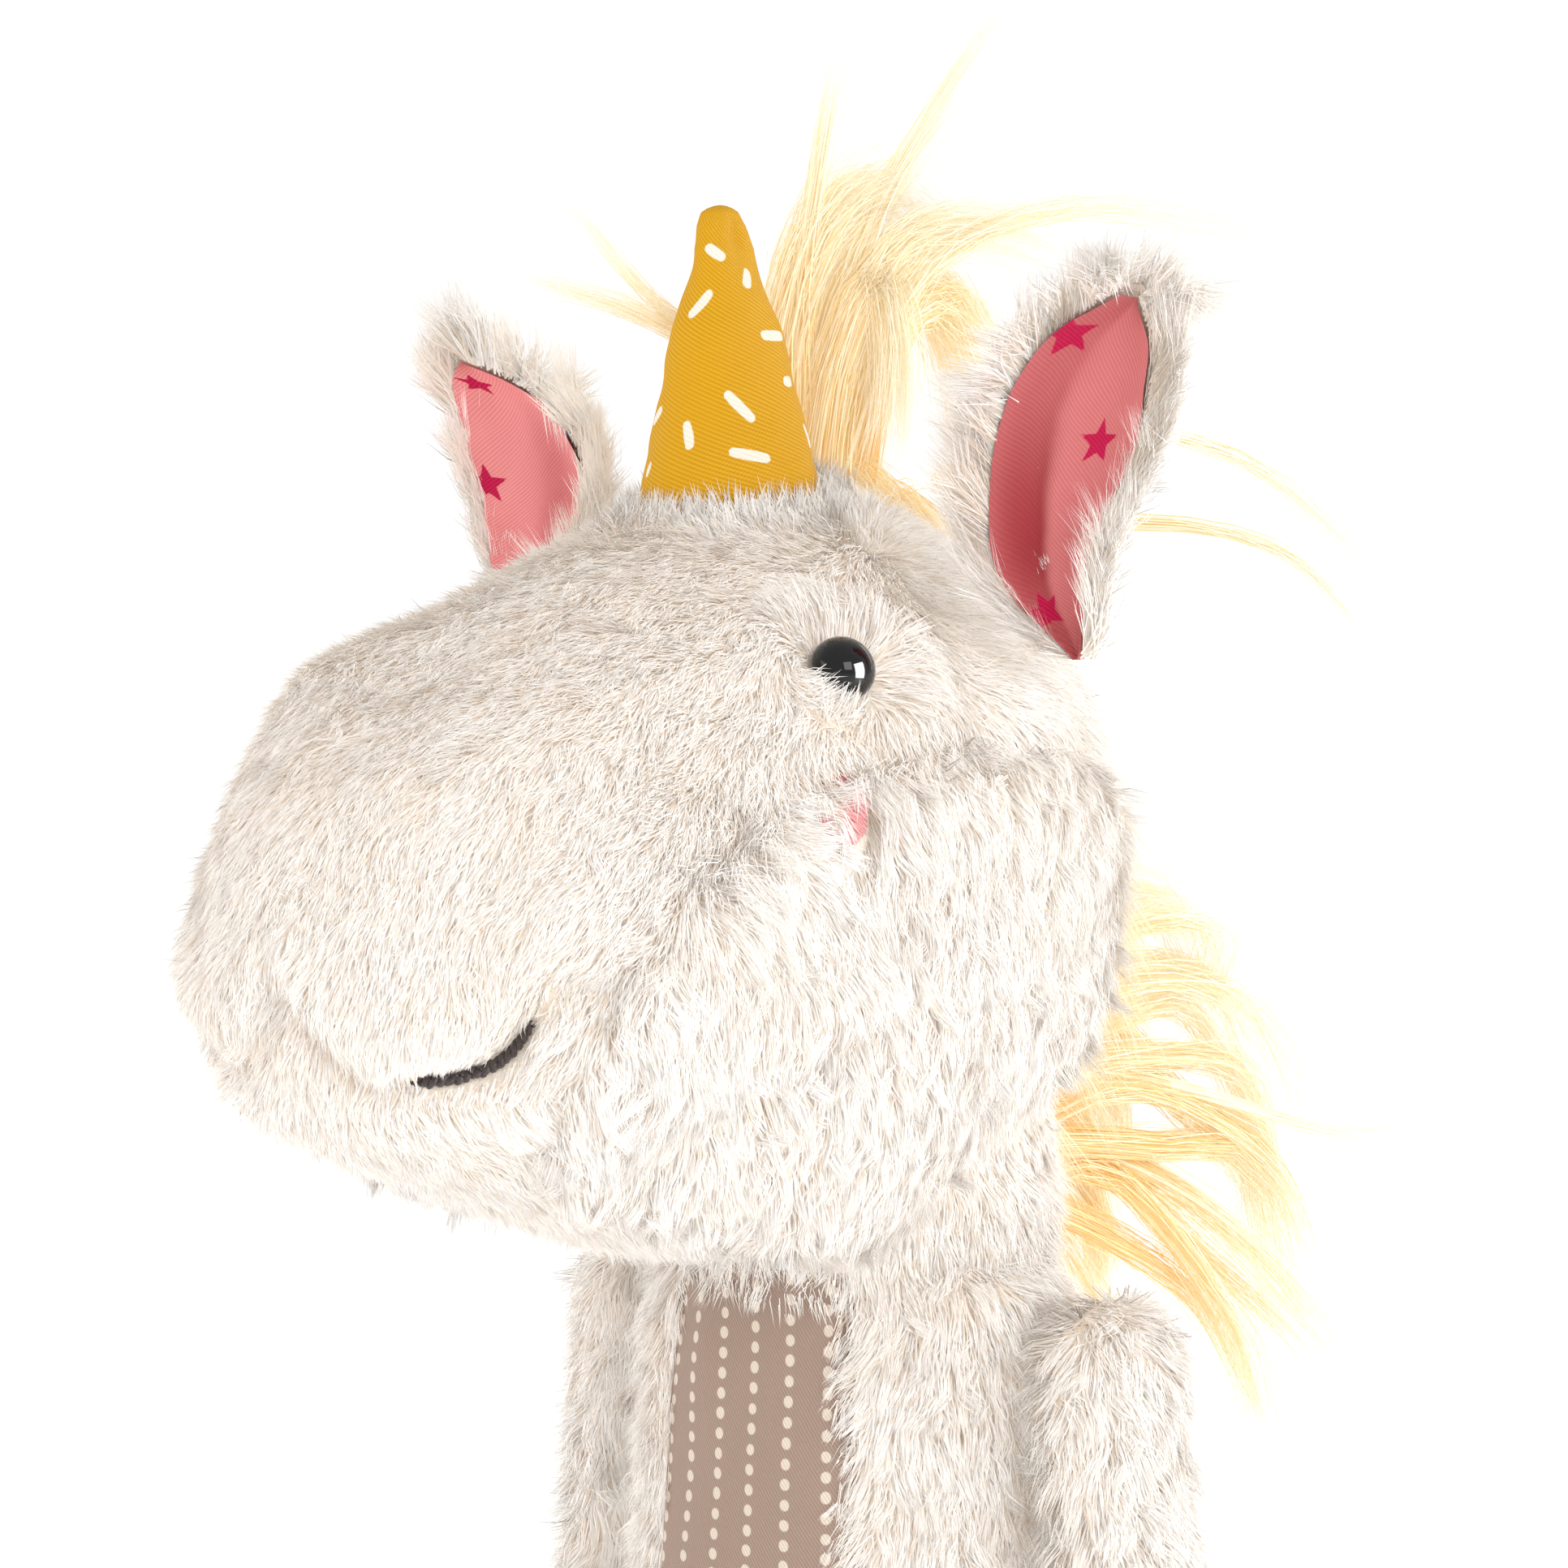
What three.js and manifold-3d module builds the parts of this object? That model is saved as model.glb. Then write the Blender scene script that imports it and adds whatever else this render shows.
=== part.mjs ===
// Seated plush unicorn. Millimetres, +Z up, seat on z = 0, the toy faces -Y and its left is +X.
import * as THREE from "three";
import { mergeVertices } from "three/addons/utils/BufferGeometryUtils.js";
import Module from "manifold-3d";

const wasm = await Module();
wasm.setup();

// Cloth
const PLUSH = 5; // backing and pressed pile of the plush cloth
const COTTON = 1.2; // printed cotton twill
const SEAM = 0.35; // half the gap left at a seam
const PACK_GAP = 1.5; // between a cloth and the stuffing behind it

// Head: rounded lumps that melt into one another, seen from HEAD_MID
const HEAD_MID = [0, -50, 216];
const LUMPS = [
  { at: [0, -21, 239], r: [65, 66, 58] }, // skull
  { at: [0, -66, 243], r: [53, 52, 44] }, // bridge between skull and muzzle
  { at: [0, -101, 218], r: [54, 53, 49] }, // muzzle
  { at: [0, -54, 197], r: [61, 60, 46] }, // jaw and cheeks
  { at: [0, -10, 205], r: [56, 54, 42] }, // nape
];
const MELT = 11;
// Edge of the cheek panels: [angle from the nose over the crown, angle from the side], degrees
const CHEEK_EDGE = [
  [-33, 73], [8, 52], [35, 40], [80, 29], [122, 32], [150, 46], [185, 57], [225, 62], [275, 64],
];
const MOUTH_TURN = -11; // where face and chin panels meet, from the nose
const CROWN_TURN = 106; // where face and back panels meet
const THROAT_TURN = -82;
const NAPE_TURN = 226;

// Neck
const NECK_Y = 4;
const NOD_AT = [0, NECK_Y, 172];
const NECK_BALL = 43;
const NECK_WAIST = 38;
const NECK_FOOT = 147;
const SOCKET = 44.5;

// Torso rings: [height, half width, half depth]
const TORSO = [
  [5.5, 45, 41], [20, 50, 46], [50, 48, 45], [80, 46, 43],
  [105, 46, 41], [125, 45, 40], [138, 42, 39], [146, 38, 38],
];
const BELLY_TURN = 36; // half angle of the belly panel
const SIDE_TURN = 128; // where side and back panels meet
const SEAT = [43, 39, 5]; // half width, half depth, thickness
const BEANS = [34, 30, 6, 25]; // half width, half depth, bottom, top

// Limbs
const SHOULDER = [57.5, 6, 134];
const HAND = [67.5, 6, 41];
const ARM_HALF = [12, 18];
const HIP = [30, -60, 19.8];
const FOOT = [52, -166, 22.3];
const LEG_R = [19.5, 19, 20.5, 22];

// Face
const EYE_AT = [44, -58, 265];
const EYE_R = 6;
const BLUSH_AT = [50, -69, 239];
const HORN_Y = -36;
const HORN_R = 17;
const HORN_H = 54;
const HORN_LIFT = 1.4;
const EAR_AT = [50, -25, 276];
const EAR_ALONG = [0.54, 0.06, 0.84];
const EAR_LENGTH = 67;
const EAR_WIDTH = 21;
const LINING_INSET = 5;
const EAR_LIFT = 3.8;

const rad = (deg) => (deg * Math.PI) / 180;
const vec = (a) => new THREE.Vector3(...a);
const lerp = (a, b, t) => a + (b - a) * t;
const mirror = (a) => [-a[0], a[1], a[2]];

// Smooth value through sorted [position, value, ...] rows
function through(rows, x, column = 1) {
  let i = 0;
  while (i < rows.length - 2 && x > rows[i + 1][0]) i++;
  const at = (k) => rows[Math.min(Math.max(k, 0), rows.length - 1)][column];
  const t = Math.min(Math.max((x - rows[i][0]) / (rows[i + 1][0] - rows[i][0]), 0), 1);
  const [a, b, c, d] = [at(i - 1), at(i), at(i + 1), at(i + 2)];
  return b + 0.5 * t * (c - a + t * (2 * a - 5 * b + 4 * c - d + t * (3 * (b - c) + d - a)));
}

// A closed solid from points and faces, turned so that its faces point outwards
function closed(points, faces) {
  const tris = faces.flatMap((f) => (f.length === 4 ? [[f[0], f[1], f[2]], [f[0], f[2], f[3]]] : [f]));
  const key = (p) => p.map((c) => Math.round(c * 2000)).join();
  const first = new Map();
  const same = points.map((p, i) => (first.has(key(p)) ? first.get(key(p)) : (first.set(key(p), i), i)));
  const kept = tris.map((t) => t.map((i) => same[i])).filter(([a, b, c]) => a !== b && b !== c && c !== a);
  let volume = 0;
  for (const [a, b, c] of kept) volume += vec(points[a]).dot(vec(points[b]).cross(vec(points[c])));
  const index = kept.flatMap((t) => (volume < 0 ? [t[0], t[2], t[1]] : t));
  return new THREE.BufferGeometry()
    .setAttribute("position", new THREE.Float32BufferAttribute(points.flat(), 3))
    .setIndex(index);
}

// Cloth patch between two skins of a surface: at(a, b, offset) over a grid from (0, 0) to (1, 1)
function patch(at, na, nb, outer, inner) {
  const points = [], faces = [];
  const id = (i, j, side) => (i * (nb + 1) + j) * 2 + side;
  for (let i = 0; i <= na; i++)
    for (let j = 0; j <= nb; j++)
      points.push(at(i / na, j / nb, outer), at(i / na, j / nb, inner));
  for (let i = 0; i < na; i++)
    for (let j = 0; j < nb; j++) {
      faces.push([id(i, j, 0), id(i + 1, j, 0), id(i + 1, j + 1, 0), id(i, j + 1, 0)]);
      faces.push([id(i, j, 1), id(i, j + 1, 1), id(i + 1, j + 1, 1), id(i + 1, j, 1)]);
    }
  for (let i = 0; i < na; i++) {
    faces.push([id(i, 0, 0), id(i, 0, 1), id(i + 1, 0, 1), id(i + 1, 0, 0)]);
    faces.push([id(i, nb, 0), id(i + 1, nb, 0), id(i + 1, nb, 1), id(i, nb, 1)]);
  }
  for (let j = 0; j < nb; j++) {
    faces.push([id(0, j, 0), id(0, j + 1, 0), id(0, j + 1, 1), id(0, j, 1)]);
    faces.push([id(na, j, 0), id(na, j, 1), id(na, j + 1, 1), id(na, j + 1, 0)]);
  }
  return closed(points, faces);
}

// Patch that closes on itself along a: a dish if b = 0 is a point, a sleeve if not
function ring(at, na, nb, outer, inner) {
  const points = [], faces = [];
  const id = (i, j, side) => ((i % na) * (nb + 1) + j) * 2 + side;
  for (let i = 0; i < na; i++)
    for (let j = 0; j <= nb; j++)
      points.push(at(i / na, j / nb, outer), at(i / na, j / nb, inner));
  for (let i = 0; i < na; i++) {
    for (let j = 0; j < nb; j++) {
      faces.push([id(i, j, 0), id(i + 1, j, 0), id(i + 1, j + 1, 0), id(i, j + 1, 0)]);
      faces.push([id(i, j, 1), id(i, j + 1, 1), id(i + 1, j + 1, 1), id(i + 1, j, 1)]);
    }
    const start = at(0, 0, outer), turned = at(0.5, 0, outer);
    if (vec(start).distanceTo(vec(turned)) > 1e-3)
      faces.push([id(i, 0, 0), id(i, 0, 1), id(i + 1, 0, 1), id(i + 1, 0, 0)]);
    faces.push([id(i, nb, 0), id(i + 1, nb, 0), id(i + 1, nb, 1), id(i, nb, 1)]);
  }
  return closed(points, faces);
}

// Filled body that closes on itself along a, with flat or pointed ends
function body(at, na, nb) {
  const points = [], faces = [];
  for (let j = 0; j <= nb; j++) for (let i = 0; i < na; i++) points.push(at(i / na, j / nb));
  const mean = (j) => [0, 1, 2].map((k) => {
    let sum = 0;
    for (let i = 0; i < na; i++) sum += points[j * na + i][k];
    return sum / na;
  });
  const low = points.length, high = low + 1;
  points.push(mean(0), mean(nb));
  for (let i = 0; i < na; i++) {
    const n = (i + 1) % na;
    for (let j = 0; j < nb; j++)
      faces.push([j * na + i, j * na + n, (j + 1) * na + n, (j + 1) * na + i]);
    faces.push([low, n, i], [high, nb * na + i, nb * na + n]);
  }
  return closed(points, faces);
}

// Booleans, for pockets and sockets only
function toSolid(geometry) {
  const bare = geometry.clone();
  bare.deleteAttribute("normal");
  bare.deleteAttribute("uv");
  const g = mergeVertices(bare, 1e-3);
  return new wasm.Manifold(new wasm.Mesh({
    numProp: 3,
    vertProperties: g.attributes.position.array,
    triVerts: new Uint32Array(g.index.array),
  }));
}
function minus(geometry, ...tools) {
  let solid = toSolid(geometry);
  for (const tool of tools) solid = solid.subtract(toSolid(tool));
  const mesh = solid.getMesh();
  return new THREE.BufferGeometry()
    .setAttribute("position", new THREE.Float32BufferAttribute(mesh.vertProperties, 3))
    .setIndex([...mesh.triVerts]);
}

// Tapered lobed lock of hair along a path of [x, y, z, radius]
function lock(path, lobes, flat = 1) {
  const rows = path.map((p, i) => [i / (path.length - 1), ...p]);
  const point = (t) => new THREE.Vector3(through(rows, t, 1), through(rows, t, 2), through(rows, t, 3));
  return body((a, b) => {
    const t = Math.min(Math.max(b, 0.001), 0.999);
    const way = point(t + 0.001).sub(point(t - 0.001)).normalize();
    const side = new THREE.Vector3(1, 0, 0).addScaledVector(way, -way.x).normalize();
    const up = way.clone().cross(side);
    const r = Math.max(through(rows, b, 4), 0.6) * (1 + 0.12 * Math.cos(2 * Math.PI * a * lobes + 3 * b));
    return point(b)
      .addScaledVector(side, r * flat * Math.cos(2 * Math.PI * a))
      .addScaledVector(up, r * Math.sin(2 * Math.PI * a))
      .toArray();
  }, lobes * 3, 8);
}

// ---- Head surface
function headDepth(p) {
  let sum = 0;
  for (const { at, r } of LUMPS)
    sum += Math.exp(MELT * (1 - Math.hypot(...p.map((c, k) => (c - at[k]) / r[k]))));
  return Math.log(sum) / MELT;
}
const headReach = new Map();
function headRadius(way) {
  const key = way.map((c) => c.toFixed(5)).join();
  if (!headReach.has(key)) {
    let [near, far] = [10, 200];
    for (let i = 0; i < 30; i++) {
      const mid = (near + far) / 2;
      if (headDepth(HEAD_MID.map((c, k) => c + way[k] * mid)) > 0) near = mid;
      else far = mid;
    }
    headReach.set(key, near);
  }
  return headReach.get(key);
}
const onHead = (way, offset) => HEAD_MID.map((c, k) => c + way[k] * (headRadius(way) + offset));
const wayTo = (p) => vec(p).sub(vec(HEAD_MID)).normalize().toArray();
// turn: from the nose over the crown; lean: from the toy's left side
const headWay = (turn, lean) => [
  Math.cos(lean), -Math.sin(lean) * Math.cos(turn), Math.sin(lean) * Math.sin(turn),
];
function headNormal(p) {
  const h = 0.5;
  const slope = [0, 1, 2].map((k) => {
    const [a, b] = [[...p], [...p]];
    a[k] += h;
    b[k] -= h;
    return headDepth(b) - headDepth(a);
  });
  return vec(slope).normalize();
}
function cheekEdge(turn) {
  const deg = ((((turn * 180) / Math.PI + 180) % 360) + 360) % 360 - 180;
  const rows = [-360, 0, 360].flatMap((whole) => CHEEK_EDGE.map(([a, b]) => [a + whole, b]));
  return rad(through(rows, deg));
}
const headBand = (from, to) => (a, b, offset) => {
  const turn = rad(lerp(from, to, a)), gap = SEAM / 60;
  const edge = cheekEdge(turn) + gap;
  return onHead(headWay(turn, lerp(edge, Math.PI - edge, b)), offset);
};
const headCheek = (side) => (a, b, offset) => {
  const turn = 2 * Math.PI * a;
  const p = onHead(headWay(turn, b * (cheekEdge(turn) - SEAM / 60)), offset);
  return side > 0 ? p : mirror(p);
};
const ballTool = (centre, r) =>
  new THREE.SphereGeometry(r, 28, 18).rotateX(Math.PI / 2).translate(...centre);

// Rod standing on the head at p along its normal, between two heights
function rodAt(p, way, r, low, high, n = 16) {
  return new THREE.CylinderGeometry(r, r, high - low, n)
    .translate(0, (low + high) / 2, 0)
    .applyQuaternion(new THREE.Quaternion().setFromUnitVectors(new THREE.Vector3(0, 1, 0), way))
    .translate(...p);
}

// ---- Materials
const paint = (color, roughness) => new THREE.MeshStandardMaterial({ color, roughness, metalness: 0 });
const WHITE_PLUSH = paint(0xf3ece4, 0.95);
const FILLING = paint(0xf7f5f0, 1);
const DOTTED_TWILL = paint(0xa88d7e, 0.85);
const PINK_COTTON = paint(0xee8d8f, 0.8);
const YELLOW_TWILL = paint(0xe2ad1b, 0.8);
const YELLOW_HAIR = paint(0xf8dc92, 0.6);
const BLACK_GLOSS = paint(0x0b0b0c, 0.08);
const WHITE_NYLON = paint(0xe9e9e4, 0.5);
const PINK_THREAD = paint(0xf08a8a, 0.6);
const BROWN_THREAD = paint(0x33201c, 0.6);
const BEAN_CLOTH = paint(0xd9d4c8, 0.9);

const unicorn = new THREE.Group();
function add(name, geometry, material) {
  const mesh = new THREE.Mesh(geometry, material);
  mesh.name = name;
  unicorn.add(mesh);
}

// ---- Head cloths and stuffing
const socket = ballTool(NOD_AT, SOCKET);
const eyes = [1, -1].map((side) => {
  const at = onHead(wayTo(EYE_AT), 0), way = headNormal(at);
  return side > 0
    ? { name: "left", at, way }
    : { name: "right", at: mirror(at), way: new THREE.Vector3(-way.x, way.y, way.z) };
});
const eyePockets = eyes.flatMap(({ at, way }) => [
  rodAt(at, way, EYE_R + 0.5, -3.8, 8),
  rodAt(at, way, 2, -9, 0, 10),
]);
const washerPockets = eyes.map(({ at, way }) => rodAt(at, way, 8.5, -15, 2, 14));
add("face_panel",
  minus(patch(headBand(MOUTH_TURN + 0.4, CROWN_TURN - 0.4), 12, 11, 0, -PLUSH), ...eyePockets), WHITE_PLUSH);
add("head_back_panel",
  minus(patch(headBand(CROWN_TURN + 0.4, NAPE_TURN), 9, 10, 0, -PLUSH), socket), WHITE_PLUSH);
add("chin_panel",
  minus(patch(headBand(THROAT_TURN, MOUTH_TURN - 0.4), 7, 7, 0, -PLUSH), socket), WHITE_PLUSH);
for (const [name, side] of [["left", 1], ["right", -1]])
  add(`cheek_panel_${name}`, minus(ring(headCheek(side), 22, 6, 0, -PLUSH), socket), WHITE_PLUSH);
add("head_stuffing",
  minus(
    body((a, b) => onHead(headWay(2 * Math.PI * a, Math.PI * b), -PLUSH - PACK_GAP), 22, 14),
    ballTool(NOD_AT, SOCKET + 2), ...washerPockets),
  FILLING);

// ---- Eyes: domes with a shank through the cloth, held by a washer behind it
for (const { name, at, way } of eyes) {
  const dome = [];
  for (let i = 0; i <= 6; i++)
    dome.push(new THREE.Vector2(EYE_R * Math.sin(rad(15 * i)), -2.6 + 5.4 * Math.cos(rad(15 * i))));
  const profile = [...dome, [EYE_R, -3.4], [1.5, -3.4], [1.5, -13], [0, -13]]
    .map((p) => (p.isVector2 ? p : new THREE.Vector2(...p)))
    .reverse();
  const place = (g) => g
    .applyQuaternion(new THREE.Quaternion().setFromUnitVectors(new THREE.Vector3(0, 1, 0), way))
    .translate(...at);
  add(`eye_${name}`, place(new THREE.LatheGeometry(profile, 14)), BLACK_GLOSS);
  const washer = [[1.8, -8], [7, -8], [7, -6.4], [1.8, -6.4], [1.8, -8]];
  add(`eye_washer_${name}`,
    place(new THREE.LatheGeometry(washer.map((p) => new THREE.Vector2(...p)), 16)), WHITE_NYLON);
}

// ---- Embroidery: cheek spots and the smile
for (const [name, side] of [["left", 1], ["right", -1]]) {
  const way = vec(wayTo(BLUSH_AT));
  const up = new THREE.Vector3(0, 0, 1).addScaledVector(way, -way.z).normalize();
  const across = way.clone().cross(up);
  add(`blush_${name}`,
    ring((a, b, offset) => {
      const turn = 2 * Math.PI * a;
      const spot = way.clone()
        .addScaledVector(up, b * 0.115 * Math.sin(turn))
        .addScaledVector(across, b * 0.09 * Math.cos(turn)).normalize();
      const p = onHead(spot.toArray(), offset);
      return side > 0 ? p : mirror(p);
    }, 16, 2, 1.2, 0.3), PINK_THREAD);
}
const smile = [];
for (let i = 0; i <= 22; i++) {
  const s = lerp(-1, 1, i / 22);
  const way = headWay(rad(MOUTH_TURN + 8 * s * s), rad(90 - 26 * s));
  smile.push([i / 22, ...onHead(way, 1.2), 0.9 * Math.sqrt(Math.max(1 - s ** 10, 0.15))]);
}
add("mouth_stitching",
  body((a, b) => {
    const p = (t) => new THREE.Vector3(...[1, 2, 3].map((k) => through(smile, t, k)));
    const way = p(Math.min(b + 0.01, 1)).sub(p(Math.max(b - 0.01, 0))).normalize();
    const out = headNormal(p(b).toArray()), side = way.clone().cross(out);
    const r = through(smile, b, 4), turn = 2 * Math.PI * a;
    return p(b)
      .addScaledVector(out, r * 0.8 * Math.sin(turn))
      .addScaledVector(side, r * Math.cos(turn))
      .toArray();
  }, 6, 28), BROWN_THREAD);

// ---- Horn: a stuffed cone that leans a little forward and narrows to a blunt tip
const crownTop = onHead(wayTo([0, HORN_Y + HORN_R / 2, 296]), 0)[2];
const hornBase = [0, HORN_Y, crownTop + HORN_LIFT];
const HORN_SIDE = [[0, 1], [0.25, 0.8], [0.55, 0.54], [0.82, 0.28], [0.94, 0.17], [1, 0]];
const hornSkin = (a, b, offset) => {
  const tall = HORN_H + offset, up = b * tall, turn = 2 * Math.PI * a;
  const r = b >= 1 ? 0 : Math.max(HORN_R * through(HORN_SIDE, b) + offset, 0.6);
  return [
    hornBase[0] + r * Math.sin(turn),
    hornBase[1] - r * Math.cos(turn) - 4 * (up / HORN_H) ** 2,
    hornBase[2] + up,
  ];
};
add("horn_cover", ring((a, b, d) => hornSkin(a, 1 - b, d), 18, 7, 0, -COTTON), YELLOW_TWILL);
add("horn_stuffing", body((a, b) => hornSkin(a, b, -COTTON - PACK_GAP), 14, 6), FILLING);

// ---- Ears: leaf-shaped cups, plush behind and cotton in front
const EAR_LEAF = [[0, 0.5], [0.2, 0.86], [0.42, 1], [0.65, 0.86], [0.85, 0.5], [1, 0.1]];
const EAR_CUP = [[0, 42], [0.3, 66], [0.6, 58], [1, 25]];
const earAlong = vec(EAR_ALONG).normalize();
const earFront = new THREE.Vector3(0.05, -1, 0);
earFront.addScaledVector(earAlong, -earAlong.dot(earFront)).normalize();
const earAcross = earAlong.clone().cross(earFront).normalize();
const earBase = vec(onHead(wayTo(EAR_AT), EAR_LIFT));
const earSkin = (side, inset) => (a, b, offset) => {
  const half = Math.max(EAR_WIDTH * through(EAR_LEAF, b) - inset * Math.min(1, 3 * (1 - b) + 0.1), 1.2);
  const open = rad(through(EAR_CUP, b)), r = half / Math.sin(open), turn = lerp(-open, open, a);
  const p = earBase.clone()
    .addScaledVector(earAlong, (EAR_LENGTH - inset) * b)
    .addScaledVector(earAcross, (r - offset) * Math.sin(turn))
    .addScaledVector(earFront, r - (r - offset) * Math.cos(turn) - 2)
    .toArray();
  return side > 0 ? p : mirror(p);
};
for (const [name, side] of [["left", 1], ["right", -1]]) {
  add(`ear_back_${name}`, patch(earSkin(side, 0), 7, 8, -0.4, -4.4), WHITE_PLUSH);
  add(`ear_lining_${name}`, patch(earSkin(side, LINING_INSET), 7, 8, COTTON, 0), PINK_COTTON);
}

// ---- Neck: a stuffed ball end that the head rocks on
const neckProfile = (rBall, rWaist, foot, top) => {
  const rows = [[rWaist, foot], [rWaist, foot + 3]];
  const meet = Math.asin(Math.min(rWaist / rBall, 1));
  for (let i = 0; i <= 4; i++) {
    const turn = lerp(Math.PI - meet, Math.PI / 2, i / 4);
    rows.push([rBall * Math.sin(turn), NOD_AT[2] + rBall * Math.cos(turn)]);
  }
  return top ? rows.concat(top) : rows;
};
const lathe = (rows, n) =>
  new THREE.LatheGeometry(rows.map((p) => new THREE.Vector2(...p)), n)
    .rotateX(Math.PI / 2)
    .translate(0, NECK_Y, 0);
const outerNeck = neckProfile(NECK_BALL, NECK_WAIST, NECK_FOOT);
const innerNeck = neckProfile(NECK_BALL - PLUSH, NECK_WAIST - PLUSH, NECK_FOOT);
add("neck_cloth", lathe([...outerNeck, ...innerNeck.reverse(), outerNeck[0]], 26), WHITE_PLUSH);
const cap = [[NECK_BALL - 1, NOD_AT[2] + 0.5]];
for (let i = 1; i <= 5; i++) {
  const turn = rad(18 * i);
  cap.push([(NECK_BALL - 1) * Math.cos(turn), NOD_AT[2] + 0.5 + (NECK_BALL - 1) * Math.sin(turn)]);
}
cap[cap.length - 1][0] = 0;
const packed = PLUSH + PACK_GAP;
add("neck_stuffing",
  lathe([[0, NECK_FOOT], ...neckProfile(NECK_BALL - packed, NECK_WAIST - packed, NECK_FOOT,
    [[NECK_BALL - packed, NOD_AT[2] + 0.5], ...cap])], 22), FILLING);

// ---- Torso
const torsoAt = (turn, z, offset) => {
  const w = through(TORSO, z, 1) + offset, d = through(TORSO, z, 2) + offset;
  return [w * Math.sin(turn), -d * Math.cos(turn), z];
};
const torsoPanel = (from, to) => (a, b, offset) => {
  const gap = (SEAM / 42) * (180 / Math.PI);
  return torsoAt(rad(lerp(from + gap, to - gap, a)), lerp(TORSO[0][0], TORSO.at(-1)[0], b), offset);
};
add("belly_panel", patch(torsoPanel(-BELLY_TURN, BELLY_TURN), 8, 8, COTTON - PLUSH, -PLUSH), DOTTED_TWILL);
add("side_panel_left", patch(torsoPanel(BELLY_TURN, SIDE_TURN), 8, 8, 0, -PLUSH), WHITE_PLUSH);
add("side_panel_right", patch(torsoPanel(-SIDE_TURN, -BELLY_TURN), 8, 8, 0, -PLUSH), WHITE_PLUSH);
add("back_panel", patch(torsoPanel(SIDE_TURN, 360 - SIDE_TURN), 9, 8, 0, -PLUSH), WHITE_PLUSH);
const disc = (w, d, low, high, n) =>
  body((a, b) => {
    const round = b === 0 || b === 1 ? 0.96 : 1, turn = 2 * Math.PI * a;
    return [w * round * Math.sin(turn), -d * round * Math.cos(turn), lerp(low, high, b)];
  }, n, 3);
add("seat_panel", disc(SEAT[0], SEAT[1], 0, SEAT[2], 28), WHITE_PLUSH);
add("bean_pouch", disc(...BEANS, 20), BEAN_CLOTH);
add("torso_stuffing",
  minus(
    body((a, b) => torsoAt(2 * Math.PI * a, lerp(TORSO[0][0], TORSO.at(-1)[0], b), -PLUSH - PACK_GAP), 24, 8),
    disc(BEANS[0] + PACK_GAP, BEANS[1] + PACK_GAP, 0, BEANS[3] + PACK_GAP, 20)), FILLING);

// ---- Limbs: round-ended sleeves
function limb(from, to, halfA, halfB, side) {
  const way = vec(to).sub(vec(from)), long = way.length();
  way.normalize();
  const e2 = new THREE.Vector3(0, 1, 0).addScaledVector(way, -way.y);
  if (e2.length() < 0.5) e2.set(0, 0, 1).addScaledVector(way, -way.z);
  e2.normalize();
  const e1 = e2.clone().cross(way);
  return (a, b, offset) => {
    const [h0, h1] = [halfA(0) + offset, halfA(1) + offset];
    const s = lerp(-h0, long + h1, b);
    const t = Math.min(Math.max(s / long, 0), 1);
    const over = s < 0 ? -s / h0 : s > long ? (s - long) / h1 : 0;
    const round = Math.sqrt(Math.max(1 - over ** 2, 0));
    const p = vec(from)
      .addScaledVector(way, s)
      .addScaledVector(e1, (halfA(t) + offset) * round * Math.cos(2 * Math.PI * a))
      .addScaledVector(e2, (halfB(t) + offset) * round * Math.sin(2 * Math.PI * a))
      .toArray();
    return side > 0 ? p : mirror(p);
  };
}
const ends = (b) => 0.5 - 0.5 * Math.cos(Math.PI * b); // closer rings near the round ends
for (const [name, side] of [["left", 1], ["right", -1]]) {
  const arm = limb(SHOULDER, HAND, () => ARM_HALF[0], (t) => ARM_HALF[1] - 2 * t, side);
  add(`arm_${name}`, ring((a, b, d) => arm(a, ends(b * 0.97), d), 14, 8, 0, -4), WHITE_PLUSH);
  add(`arm_stuffing_${name}`, body((a, b) => arm(a, ends(b), -4 - PACK_GAP), 12, 8), FILLING);
  const rLeg = (t) => through(LEG_R.map((r, i) => [i / (LEG_R.length - 1), r]), t);
  const leg = limb(HIP, FOOT, rLeg, rLeg, side);
  add(`leg_${name}`, ring((a, b, d) => leg(a, ends(b) * 0.955, d), 16, 8, 0, -PLUSH), WHITE_PLUSH);
  add(`sole_${name}`, ring((a, b, d) => leg(a, 1 - b * 0.042, d), 16, 3, 0, -COTTON), PINK_COTTON);
  add(`leg_stuffing_${name}`, body((a, b) => leg(a, ends(b), -PLUSH - PACK_GAP), 12, 8), FILLING);
}

// ---- Hair
add("forelock",
  lock([[0, -3, 299, 11], [0, 0, 320, 16], [2, 8, 345, 14], [4, 18, 365, 8], [5, 30, 380, 1]], 5, 0.9),
  YELLOW_HAIR);
const crest = [];
for (let i = 0; i <= 6; i++) {
  const turn = rad(lerp(56, -24, i / 6)), r = i === 0 || i === 6 ? 6 : 11;
  crest.push([0, -21 + (66 + 13) * Math.cos(turn), 239 + (58 + 13) * Math.sin(turn), r]);
}
add("head_mane", lock(crest, 4, 0.9), YELLOW_HAIR);
add("neck_mane",
  lock([[0, 56, 162, 7], [0, 68, 162, 13], [2, 86, 154, 15], [4, 104, 142, 10], [6, 120, 128, 1]], 5, 0.9),
  YELLOW_HAIR);
add("tail",
  lock([[0, 54, 33, 5], [0, 62, 29, 10], [0, 80, 16.5, 13], [0, 98, 9.8, 9.5], [0, 118, 5, 1.2]], 5, 0.9),
  YELLOW_HAIR);

export default unicorn;
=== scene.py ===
"""Looks of a seated plush unicorn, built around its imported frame.

Shapes are worked out in millimetres in the row frame, and turned into metres when a mesh is made.
The toy faces -Y, its left is +X, and the seat is at z = 0.
"""

import math

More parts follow.
